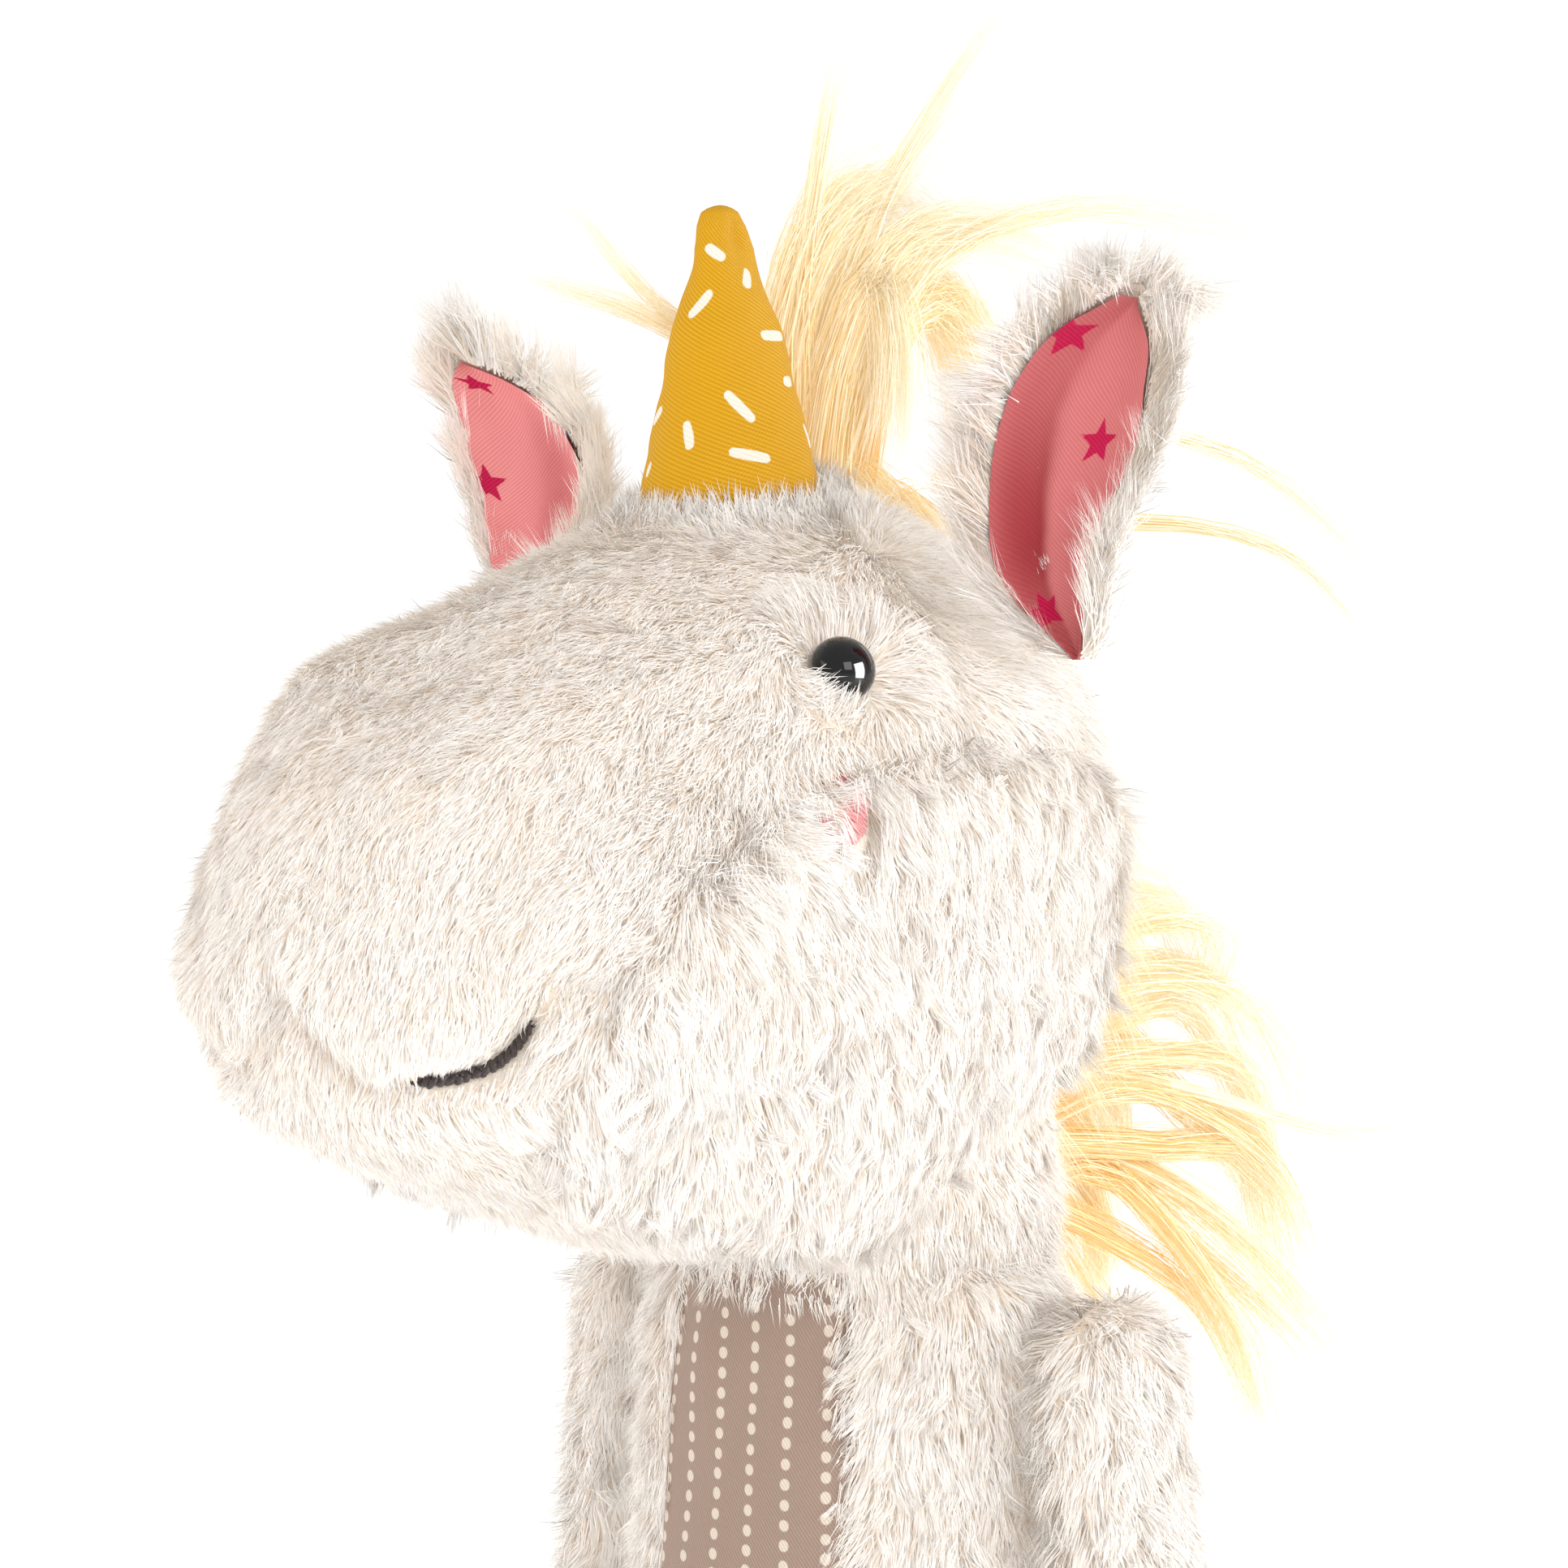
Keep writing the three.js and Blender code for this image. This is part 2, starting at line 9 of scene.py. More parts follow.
import bpy
import numpy as np
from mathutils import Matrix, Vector
from mathutils.bvhtree import BVHTree
from mathutils.kdtree import KDTree


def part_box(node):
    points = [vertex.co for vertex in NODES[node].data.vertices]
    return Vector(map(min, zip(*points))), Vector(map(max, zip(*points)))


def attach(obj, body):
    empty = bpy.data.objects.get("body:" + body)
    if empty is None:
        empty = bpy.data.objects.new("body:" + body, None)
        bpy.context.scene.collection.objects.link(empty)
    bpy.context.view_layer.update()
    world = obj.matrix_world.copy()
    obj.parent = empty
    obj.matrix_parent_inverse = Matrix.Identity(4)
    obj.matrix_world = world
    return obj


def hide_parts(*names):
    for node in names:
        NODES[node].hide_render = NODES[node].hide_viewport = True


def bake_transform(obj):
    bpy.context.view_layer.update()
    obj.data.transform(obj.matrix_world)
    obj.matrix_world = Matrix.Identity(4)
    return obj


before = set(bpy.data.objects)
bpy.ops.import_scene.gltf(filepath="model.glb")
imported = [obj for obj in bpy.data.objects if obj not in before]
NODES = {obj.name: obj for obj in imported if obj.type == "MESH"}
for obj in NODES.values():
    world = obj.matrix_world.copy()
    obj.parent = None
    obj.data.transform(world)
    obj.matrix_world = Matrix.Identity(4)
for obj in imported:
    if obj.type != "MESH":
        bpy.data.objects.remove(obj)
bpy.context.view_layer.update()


def vec(*values):
    return np.array(values, float)


MM = 0.001

# The head's own measures, as its CAD source has them
HEAD_MID = vec(0, -50, 216)
CHEEK_TURNS = [-139, -87, -33, 8, 35, 80, 122, 150, 185, 225, 275]
CHEEK_LEANS = [62, 64, 73, 52, 42, 34, 35.5, 46, 57, 62, 64]
MOUTH_TURN, CROWN_TURN = -11, 106
NOD_AT = vec(0, 4, 172)
SOCKET = 44.5
EYE_AT = vec(44, -58, 265)
BLUSH_AT = vec(50, -68, 241)
NOSE_TIP = vec(0, -118, 246)
EAR_ROOT = vec(69, -26, 266)
HORN_AT = vec(0, -36, 298.2)
HORN_R, HORN_H = 17.6, 52.5
SMILE_LEAN = 26
STITCHED_FROM = 0.55  # the mouth shows from here, as a share of its half length
TORSO_WIDE, TORSO_DEEP = 46, 43  # half its width and depth
BELLY_TURN, BACK_TURN = 36, 128  # side seams, from the front
BELLY_LOW, BELLY_TOP = 7, 150
BELLY_MM = 0.76  # width of the belly cloth for each degree of turn
SOLE_R = 15.0

# Stuffing and pile
PRESSURE = 4
FIBRE_WIDE, HAIR_WIDE = 0.34, 0.30
TANGLE = 0.35
MOST_FIBRES = 60000  # in one mesh
OUTSIDE = -9.0  # a print's value well outside its figures


# ---------------------------------------------------------------- numbers
def unit(v):
    return v / np.maximum(np.linalg.norm(v, axis=-1, keepdims=True), 1e-9)


def size_of(v):
    return np.linalg.norm(v, axis=-1)


def dot(a, b):
    return np.sum(a * b, axis=-1)


def smooth(x, low, high):
    t = np.clip((x - low) / (high - low), 0, 1)
    return t * t * (3 - 2 * t)


def blend_to(a, b, share):
    share = np.asarray(share)
    return a + (b - a) * (share[..., None] if np.ndim(a) > np.ndim(share) else share)


def hump(x, width):
    return np.exp(-((x / width) ** 2))


def lattice(i, seed):
    n = (i[..., 0] * 73856093) ^ (i[..., 1] * 19349663) ^ (i[..., 2] * 83492791) ^ (seed * 40503)
    n &= 0xFFFFFFFF
    for shift, times in ((15, 2246822519), (13, 3266489917)):
        n = ((n ^ (n >> shift)) * times) & 0xFFFFFFFF
    return (n ^ (n >> 16)) / 2147483648.0 - 1


def noise(p, size, seed=0):
    q = p / size
    i = np.floor(q).astype(np.int64)
    f = q - i
    f = f * f * (3 - 2 * f)
    out = np.zeros(p.shape[:-1])
    for corner in range(8):
        c = np.array([corner & 1, corner >> 1 & 1, corner >> 2])
        out += np.prod(np.where(c, f, 1 - f), axis=-1) * lattice(i + c, seed)
    return out


def noise3(p, size, seed=0):
    return np.stack([noise(p, size, seed + k) for k in (0, 11, 23)], axis=-1)


def across(v, n):
    """The part of v that lies along a surface with normal n."""
    return unit(v - dot(v, n)[..., None] * n)


def mirrored(p):
    return p * vec(-1, 1, 1)


# ---------------------------------------------------------------- meshes
def rows_of(items, key, width, kind=np.int32):
    out = np.empty(len(items) * width, kind)
    items.foreach_get(key, out)
    return out.reshape(-1, width)


def points_of(me):
    return rows_of(me.vertices, "co", 3, np.float32).astype(float) / MM


def triangles_of(me):
    me.calc_loop_triangles()
    return rows_of(me.loop_triangles, "vertices", 3)


def edges_of(me):
    return rows_of(me.edges, "vertices", 2)


def set_points(me, co):
    me.vertices.foreach_set("co", (co * MM).astype(np.float32).ravel())
    me.update()


def normals_of(co, tri):
    a, b, c = (co[tri[:, k]] for k in range(3))
    n = np.cross(b - a, c - a)
    out = np.zeros_like(co)
    for k in range(3):
        np.add.at(out, tri[:, k], n)
    return unit(out)


def show(name, data, materials=()):
    for m in materials:
        data.materials.append(m)
    o = bpy.data.objects.new(name, data)
    bpy.context.scene.collection.objects.link(o)
    return o


def piece(name, co, faces, materials=()):
    me = bpy.data.meshes.new(name)
    me.from_pydata((np.asarray(co) * MM).tolist(), [], [tuple(map(int, f)) for f in faces])
    me.shade_smooth()
    me.update()
    return show(name, me, materials)


def apply_all(o):
    dg = bpy.context.evaluated_depsgraph_get()
    me = bpy.data.meshes.new_from_object(o.evaluated_get(dg), depsgraph=dg)
    old = o.data
    o.modifiers.clear()
    o.data = me
    bpy.data.meshes.remove(old)
    return o


def tree_of(o):
    return BVHTree.FromObject(o, bpy.context.evaluated_depsgraph_get())


def joined(nodes):
    co, faces, at = [], [], 0
    for n in nodes:
        part = points_of(NODES[n].data)
        faces.append(triangles_of(NODES[n].data) + at)
        co.append(part)
        at += len(part)
    return np.concatenate(co), np.concatenate(faces)


def relax(co, edges, rounds, share=0.5):
    count = np.bincount(edges.ravel(), minlength=len(co))[:, None]
    for _ in range(rounds):
        total = np.zeros_like(co)
        np.add.at(total, edges[:, 0], co[edges[:, 1]])
        np.add.at(total, edges[:, 1], co[edges[:, 0]])
        co = co + share * (total / np.maximum(count, 1) - co)
    return co


def outer_shell(o):
    """Keeps the loose part of the mesh with the largest box."""
    me = o.data
    co, edges = points_of(me), edges_of(me)
    label = np.arange(len(co))
    while True:
        low = np.minimum(label[edges[:, 0]], label[edges[:, 1]])
        new = label.copy()
        np.minimum.at(new, edges[:, 0], low)
        np.minimum.at(new, edges[:, 1], low)
        new = new[new]
        if (new == label).all():
            break
        label = new
    best = max(np.unique(label), key=lambda k: np.prod(np.ptp(co[label == k], axis=0)))
    keep = label == best
    order = np.cumsum(keep) - 1
    faces = [[order[v] for v in f.vertices] for f in me.polygons if keep[f.vertices[0]]]
    new = bpy.data.meshes.new(me.name)
    new.from_pydata((co[keep] * MM).tolist(), [], faces)
    new.update()
    o.data = new
    bpy.data.meshes.remove(me)


def inflate(o, pressure, cap):
    """Cloth with the stuffing's pressure inside; no point moves further than cap, in millimetres."""
    start = points_of(o.data)
    cloth = o.modifiers.new("cloth", "CLOTH")
    s = cloth.settings
    s.quality = 5
    s.mass = 0.3
    s.tension_stiffness = s.compression_stiffness = 12
    s.shear_stiffness = 5
    s.bending_stiffness = 0.6
    s.use_pressure = True
    s.uniform_pressure_force = pressure
    s.effector_weights.gravity = 0
    cloth.collision_settings.use_collision = False
    scene = bpy.context.scene
    for f in range(1, 21):
        scene.frame_set(f)
    moved = points_of(o.evaluated_get(bpy.context.evaluated_depsgraph_get()).data)
    o.modifiers.clear()
    scene.frame_set(1)
    normal = normals_of(start, triangles_of(o.data))
    step = moved - start
    step = step - normal * np.mean(dot(step, normal))
    far = np.linalg.norm(step, axis=1, keepdims=True)
    set_points(o.data, start + step * np.minimum(1, cap / np.maximum(far, 1e-6)))


def skin(name, nodes, voxel, inset, cap, relief):
    """The stuffed backing cloth under the pile: the nodes' outer surface, drawn in and filled out again."""
    co, faces = joined(nodes)
    o = piece(name, co, faces)
    remesh = o.modifiers.new("remesh", "REMESH")
    remesh.mode, remesh.voxel_size = "VOXEL", voxel * MM
    apply_all(o)
    outer_shell(o)
    me = o.data
    co = relax(points_of(me), edges_of(me), 8)
    normal = relax(normals_of(co, triangles_of(me)), edges_of(me), 3)
    set_points(me, co - unit(normal) * inset)
    inflate(o, PRESSURE, cap)
    sub = o.modifiers.new("sub", "SUBSURF")
    sub.levels = sub.render_levels = 1
    apply_all(o)
    me = o.data
    co = points_of(me)
    normal = normals_of(co, triangles_of(me))
    set_points(me, co + normal * relief(co, normal)[:, None])
    me.shade_smooth()
    me.materials.clear()
    me.materials.append(BACKING)
    return o


# ---------------------------------------------------------------- materials
class Shader:
    """A node material around one Principled shader."""

    def __init__(self, name, color, roughness, **more):
        self.material = bpy.data.materials.new(name)
        self.material.use_nodes = True
        self.tree = self.material.node_tree
        self.bsdf = next(n for n in self.tree.nodes if n.type == "BSDF_PRINCIPLED")
        self.bsdf.inputs["Base Color"].default_value = (*color, 1)
        self.bsdf.inputs["Roughness"].default_value = roughness
        for key, value in more.items():
            self.bsdf.inputs[key.replace("_", " ")].default_value = value

    def node(self, kind, inputs=None, **settings):
        n = self.tree.nodes.new("ShaderNode" + kind)
        for key, value in settings.items():
            setattr(n, key, value)
        for key, value in (inputs or {}).items():
            if isinstance(value, bpy.types.NodeSocket):
                self.tree.links.new(value, n.inputs[key])
            else:
                n.inputs[key].default_value = value
        return n

    def math(self, operation, a, b=0.0, c=0.0):
        return self.node("Math", {0: a, 1: b, 2: c}, operation=operation).outputs[0]

    def times_add(self, a, b, c=0.0):
        return self.math("MULTIPLY_ADD", a, b, c)

    def mix(self, share, a, b):
        a, b = (c if isinstance(c, bpy.types.NodeSocket) else (*c, 1) for c in (a, b))
        return self.node("Mix", {0: share, 6: a, 7: b}, data_type="RGBA").outputs[2]

    def noise(self, scale, detail=3.0, roughness=0.6):
        where = self.node("TexCoord").outputs["Object"]
        return self.node(
            "TexNoise", {"Vector": where, "Scale": scale, "Detail": detail, "Roughness": roughness}
        ).outputs["Fac"]

    def ranged(self, value, low, high, to_low=0.0, to_high=1.0):
        return self.node("MapRange", {0: value, 1: low, 2: high, 3: to_low, 4: to_high}).outputs[0]

    def drive(self, socket, value):
        self.tree.links.new(value, self.bsdf.inputs[socket])

    def bump(self, height, distance, strength=1.0):
        n = self.node("Bump", {"Height": height, "Distance": distance, "Strength": strength})
        self.drive("Normal", n.outputs[0])


def twill(shader, ribs_per_mm, slant, depth):
    """Fine diagonal ribs over a UV map in millimetres; returns (u, v, ribs from 0 to 1)."""
    uv = shader.node("UVMap", uv_map="mm").outputs[0]
    split = shader.node("SeparateXYZ", {0: uv})
    u, v = split.outputs[0], split.outputs[1]
    waves = []
    for a, b, times in ((math.cos(slant), math.sin(slant), 1.0), (math.sin(slant), -math.cos(slant), 1.7)):
        along = shader.times_add(u, a, shader.times_add(v, b))
        waves.append(shader.math("SINE", shader.times_add(along, 2 * math.pi * ribs_per_mm * times)))
    height = shader.times_add(waves[0], 0.4, shader.times_add(waves[1], 0.12, 0.5))
    shader.bump(height, depth * MM, 0.8)
    return u, v, height


# the last shade, darker and warmer, and the fourth are painted shade at the roots deep in the pile; the
# fourth also serves as a random darker tone
PLUSH_SHADES = [  # the last one is for roots
    (0.985, 0.950, 0.912), (0.975, 0.926, 0.876), (0.990, 0.966, 0.942), (0.965, 0.897, 0.825),
    (0.935, 0.820, 0.700),
]
HAIR_SHADES = [  # from roots to tips
    (0.92, 0.63, 0.25), (0.93, 0.73, 0.40), (0.94, 0.81, 0.56), (0.95, 0.87, 0.69), (0.96, 0.91, 0.80),
]


def fibres(name, shades, roughness, painted_glow):
    """Materials in close shades; the glow is an emission, painted light that stands in for light scattering
    through pale fibres and coming out again.
    """
    made = []
    for k, color in enumerate(shades):
        s = Shader(f"{name}_{k}", color, roughness, Sheen_Weight=0.2, Sheen_Roughness=0.4,
                   Specular_IOR_Level=0.25, Emission_Strength=painted_glow)
        s.bsdf.inputs["Emission Color"].default_value = (color[0], color[1] ** 1.2, color[2] ** 1.2, 1)
        made.append(s.material)
    return made


def mottled(name, low, high, roughness, spots, contrast, bumps, height, detail=2.0, **more):
    """A plain cloth, thread or plastic: a noise between two colours and fine bumps."""
    s = Shader(name, high, roughness, **more)
    share = s.ranged(s.noise(spots), 0.5 - contrast, 0.5 + contrast)
    s.drive("Base Color", s.mix(share, low, high))
    s.bump(s.noise(bumps, detail), height)
    return s.material


def dotted_twill():
    s = Shader("dotted_twill", (0.38, 0.27, 0.21), 0.85, Sheen_Weight=0.15, Specular_IOR_Level=0.3)
    u, v, ribs = twill(s, 1.5, math.radians(38), 0.12)
    columns, pitch = 9.3, 3.9
    du = s.math("ABSOLUTE", s.math("SUBTRACT", s.math("WRAP", u, columns, 0.0), columns / 2))
    row = s.math("FLOOR", s.math("DIVIDE", u, columns))
    wobble = s.times_add(s.noise(180.0, 1.0), 0.5, -0.25)
    shifted = s.math("ADD", s.times_add(row, 1.7, v), wobble)
    dv = s.math("SUBTRACT", s.math("WRAP", shifted, pitch, 0.0), pitch / 2)
    far = s.math("SQRT", s.times_add(du, du, s.times_add(dv, dv)))
    dots = s.ranged(s.times_add(wobble, 0.6, far), 1.0, 1.25, 1.0, 0.0)
    cloth = s.mix(ribs, (0.30, 0.205, 0.16), (0.43, 0.32, 0.26))
    cloth = s.mix(s.ranged(s.noise(60.0), 0.3, 0.7, 0.0, 0.35), cloth, (0.35, 0.25, 0.20))
    printed = s.mix(ribs, (0.66, 0.55, 0.45), (0.82, 0.73, 0.63))
    s.drive("Base Color", s.mix(dots, cloth, printed))
    s.drive("Roughness", s.ranged(ribs, 0.0, 1.0, 0.95, 0.75))
    return s.material


def printed_twill(name, low, high, worn, print_low, print_high, ribs_per_mm, slant, fold_shade_color=None):
    """Twill with a print read from the mesh's own "print" attribute, the distance inside a figure in mm."""
    s = Shader(name, high, 0.8, Sheen_Weight=0.05, Specular_IOR_Level=0.15)
    u, v, ribs = twill(s, ribs_per_mm, slant, 0.10)
    inside = s.node("Attribute", attribute_name="print").outputs["Fac"]
    ragged = s.times_add(s.noise(1500.0, 2.0), 0.25, s.math("SUBTRACT", inside, 0.125))
    figure = s.ranged(ragged, -0.1, 0.1)
    cloth = s.mix(ribs, low, high)
    cloth = s.mix(s.ranged(s.noise(90.0), 0.35, 0.75, 0.0, 0.45), cloth, worn)
    # painted shade: the cloth darkens towards the fold colour by the mesh's fold attribute
    if fold_shade_color is not None:
        depth = s.node("Attribute", attribute_name="fold").outputs["Fac"]
        cloth = s.mix(depth, cloth, fold_shade_color)
    s.drive("Base Color", s.mix(figure, cloth, s.mix(ribs, print_low, print_high)))
    s.drive("Roughness", s.ranged(ribs, 0.0, 1.0, 0.9, 0.7))
    return s.material


def stage_white():
    s = Shader("studio_floor", (0.94, 0.94, 0.94), 0.6, Emission_Strength=0.30)
    s.bsdf.inputs["Emission Color"].default_value = (1, 1, 1, 1)
    s.drive("Roughness", s.ranged(s.noise(3.0), 0.0, 1.0, 0.55, 0.7))
    return s.material


# the last argument is the fibres' painted glow, an emission
FIBRES = fibres("plush_fibre", PLUSH_SHADES, 0.78, 0.08)
HAIR_FIBRES = fibres("hair_fibre", HAIR_SHADES, 0.42, 0.13)
BACKING = mottled("plush_backing", (0.90, 0.77, 0.64), (0.96, 0.87, 0.76), 0.95, 900.0, 0.15, 2600.0,
                  0.0004, Sheen_Weight=0.3)


# ---------------------------------------------------------------- fibres
def ribbons(name, paths, widths, sides, shades, materials, normals=None):
    """Tapered ribbons: paths (n, k+1, 3), widths (n, k), sides (n, 3), shades (n, k)."""
    n, k = paths.shape[0], paths.shape[1] - 1
    half = widths[..., None] / 2 * sides[:, None, :]
    each = 2 * k + 1
    co = np.empty((n, each, 3))
    co[:, 0 : 2 * k : 2] = paths[:, :k] - half
    co[:, 1 : 2 * k : 2] = paths[:, :k] + half
    co[:, 2 * k] = paths[:, k]
    pattern, starts = [], []
    for j in range(k - 1):
        starts.append(len(pattern))
        pattern += [2 * j, 2 * j + 1, 2 * j + 3, 2 * j + 2]
    starts.append(len(pattern))
    pattern += [2 * k - 2, 2 * k - 1, 2 * k]
    rows = np.arange(n)[:, None]
    me = bpy.data.meshes.new(name)
    me.vertices.add(n * each)
    me.vertices.foreach_set("co", (co * MM).astype(np.float32).ravel())
    loops = (rows * each + np.array(pattern)).astype(np.int32).ravel()
    me.loops.add(len(loops))
    me.loops.foreach_set("vertex_index", loops)
    me.polygons.add(n * k)
    me.polygons.foreach_set("loop_start", (rows * len(pattern) + np.array(starts)).astype(np.int32).ravel())
    me.update(calc_edges=True)
    me.polygons.foreach_set("material_index", shades.astype(np.int32).ravel())
    me.shade_smooth()
    if normals is not None:
        spread = np.repeat(normals[:, None, :], each, axis=1)
        custom = me.attributes.new("custom_normal", "FLOAT_VECTOR", "POINT")
        custom.data.foreach_set("vector", spread.astype(np.float32).ravel())
    me.update()
    return show(name, me, materials)


def scatter(o, per_mm2, rng):
    """Random roots over a mesh: points and normals."""
    co, tri = points_of(o.data), triangles_of(o.data)
    normal = normals_of(co, tri)
    a, b, c = (co[tri[:, k]] for k in range(3))
    area = size_of(np.cross(b - a, c - a)) / 2
    count = int(area.sum() * per_mm2)
    pick = rng.choice(len(tri), count, p=area / area.sum())
    r = rng.random((count, 2))
    flip = r.sum(axis=1) > 1
    r[flip] = 1 - r[flip]
    w = np.stack([1 - r.sum(axis=1), r[:, 0], r[:, 1]], axis=1)[..., None]
    p = sum(w[:, k] * co[tri[pick, k]] for k in range(3))
    n = sum(w[:, k] * normal[tri[pick, k]] for k in range(3))
    return p, unit(n)


def pile(p, n, rng, comb, length, lean, tuft, tuft_size):
    """Paths of pile fibres from their roots, gathered in tufts whose tips come together."""
    count = len(p)
    comb = across(comb + TANGLE * noise3(p, 7.0, 5) + 0.5 * TANGLE * noise3(p, 2.5, 9), n)
    tuft_size = np.broadcast_to(tuft_size, (count,))
    share = 1 / (tuft_size**2 * 2.6)
    heads = rng.choice(count, max(int(share.sum()), 1), replace=False, p=share / share.sum())
    kd = KDTree(len(heads))
    for k, at in enumerate(p[heads]):
        kd.insert(at, k)
    kd.balance()
    mine = heads[np.array([kd.find(q)[1] for q in p])]
    lean_all = np.clip(lean + 0.10 * rng.standard_normal(count), 0.05, 0.97)[:, None]
    sway = 0.22 * rng.standard_normal((count, 3))
    way = unit(n * (1 - lean_all) + comb * lean_all + sway * 0.6)
    late = unit(n * (1 - lean_all) * 0.45 + comb * lean_all * 1.15 + sway)
    long = (length * (0.75 + 0.35 * rng.random(count)))[:, None]
    middle, tip = p + way * long * 0.5, p + way * long * 0.5 + late * long * 0.5
    tuft = np.asarray(tuft) * (0.7 + 0.3 * rng.random(count))
    near = np.minimum(1.0, 2.5 * tuft_size / np.maximum(size_of(p - p[mine]), 1e-6))
    pull = (tuft * near)[:, None]
    tip = tip + pull * (tip[mine] - tip)
    middle = middle + 0.45 * pull * (middle[mine] - middle)
    paths = np.stack([p, middle, tip], axis=1)
    widths = FIBRE_WIDE * (0.75 + 0.5 * rng.random((count, 1))) * np.array([[1.0, 0.62]])
    side = unit(np.cross(tip - p, n) + 0.35 * rng.standard_normal((count, 3)))
    flat = dot(np.cross(side, tip - p), n) < 0
    side[flat] *= -1
    tone = noise(p, 9.0, 31) + 0.8 * noise(p[mine], 1.7, 37) + 0.5 * rng.standard_normal(count)
    light = np.select([tone > 0.75, tone < -0.95, tone < -0.25], [2, 3, 1], 0)
    # root segments often take the darker shades: painted shade deep in the pile
    roots = np.where(rng.random(count) < 0.45, 4, 3)
    shades = np.stack([np.where(rng.random(count) < 0.55, roots, light), light], axis=1)
    soft = unit(n + 0.30 * rng.standard_normal((count, 3)))
    return paths, widths, side, shades, soft


def fur_pieces(names, which, paths, widths, side, shades, soft):
    """One list of meshes for each name, cut from front to back where there are very many fibres."""
    made = []
    for k, name in enumerate(names):
        m = np.flatnonzero(which == k)
        m = m[np.argsort(paths[m, 0, 1])]
        parts = np.array_split(m, max(math.ceil(len(m) / MOST_FIBRES), 1))
        made.append([])
        for i, part in enumerate(parts):
            part_name = f"{name}_{i}" if len(parts) > 1 else name
            each = (paths[part], widths[part], side[part], shades[part])
            made[-1].append(ribbons(part_name, *each, FIBRES, soft[part]))
    return made


def place(o, body, slot, *nodes):
    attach(o, body)
    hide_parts(*nodes)


def finish_fur(parts, body, node):
    for part in parts:
        if body:
            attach(part, body)
    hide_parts(node)


# ---------------------------------------------------------------- head
def head_angles(p):
    """Distance from HEAD_MID, lean from the toy's side and turn from the nose, in degrees."""
    d = p - HEAD_MID
    r = size_of(d)
    lean = np.degrees(np.arccos(np.clip(np.abs(d[..., 0]) / r, 0, 1)))
    turn = np.degrees(np.arctan2(d[..., 2], -d[..., 1]))
    return r, lean, turn


def cheek_edge(turn):
    return np.interp(turn, [t - 360 for t in CHEEK_TURNS] + CHEEK_TURNS, CHEEK_LEANS * 2)


def smile_turn(s):
    """Turn of the mouth seam; s runs from 0 at the front to 1 at a corner."""
    return MOUTH_TURN + 1.7 + 6.4 * np.abs(s) ** 8


def lip_turn(s):
    """Turn of the crease between lip and chin, which rises to the cleft under the nose."""
    return smile_turn(s) + 9 * hump(s, 0.2)


def head_marks(p):
    """Signed distances in mm: into the cheek panel, above the mouth seam, behind the crown seam."""
    r, lean, turn = head_angles(p)
    turn_c = np.where(turn < -139, turn + 360, turn)
    into_cheek = np.radians(cheek_edge(turn_c) - lean) * r
    round_r = r * np.sin(np.radians(lean))
    smile = lip_turn(np.clip((90 - lean) / SMILE_LEAN, 0, 1.06))
    above = np.radians(turn - smile) * round_r
    behind = np.radians(turn_c - CROWN_TURN) * round_r
    return into_cheek, above, behind, lean, turn


def to_left(p):
    """The point on the toy's left that mirrors p."""
    return np.concatenate([np.abs(p[..., :1]), p[..., 1:]], axis=-1)


def outward_x(p):
    return np.sign(p[:, :1]) * vec(1, 0, 0)


def head_relief(p, n):
    """How far the stuffing lifts each point of the head skin, or a seam draws it in."""
    q = to_left(p)
    into_cheek, above, behind, lean, turn = head_marks(p)
    front = smooth(-p[:, 1], 60, 100)
    h = np.zeros(len(p))
    near_mouth = smooth(lean, 50, 62) * smooth(-p[:, 1], 90, 110)
    # cheek seam
    h += 1.6 * hump(into_cheek - 9, 9) * smooth(into_cheek, -1, 5)
    h -= (1.5 + 0.9 * noise(p, 14.0, 12)) * hump(into_cheek, 3.8)
    # mouth seam between its lips
    h -= 3.4 * hump(above, 3.6) * near_mouth
    h += 2.2 * hump(above - 12, 9) * near_mouth
    h += 1.0 * hump(above + 9, 6) * near_mouth
    # crown seam, eye sockets and the fold across each cheek spot
    h -= 1.4 * hump(behind, 3.0) * (into_cheek < 0)
    h -= 1.0 * hump(size_of(q - EYE_AT), 9)
    crease = q - (BLUSH_AT + vec(1, 5, -8))
    h -= 2.2 * hump(crease[:, 1] - 0.2 * crease[:, 2], 3.2) * hump(crease[:, 2] - 7, 16)
    # uneven stuffing, then the nose, the bridge, the crown around the horn and the chin
    h += 1.5 * noise(p, 26.0, 3) + 0.6 * noise(p, 9.0, 4)
    h += 2.5 * hump(size_of(p - NOSE_TIP), 30)
    h += np.where(p[:, 0] < 0, 8.0, 2.0) * hump(turn - 36, 16) * hump(lean - 64, 17)
    h += 5.5 * hump(np.hypot(p[:, 0], p[:, 1] - HORN_AT[1]), 30) * smooth(p[:, 2], 266, 284)
    h -= 5.0 * smooth(-turn, 12, 32) * smooth(-p[:, 1], 38, 74)
    # cleft under the nose
    h -= 2.0 * hump(p[:, 0], 3.5) * smooth(turn, 16, 5) * smooth(turn, -8, -3) * front
    in_socket = size_of(p - NOD_AT) < SOCKET + 5
    return np.where(in_socket, 0.0, h)


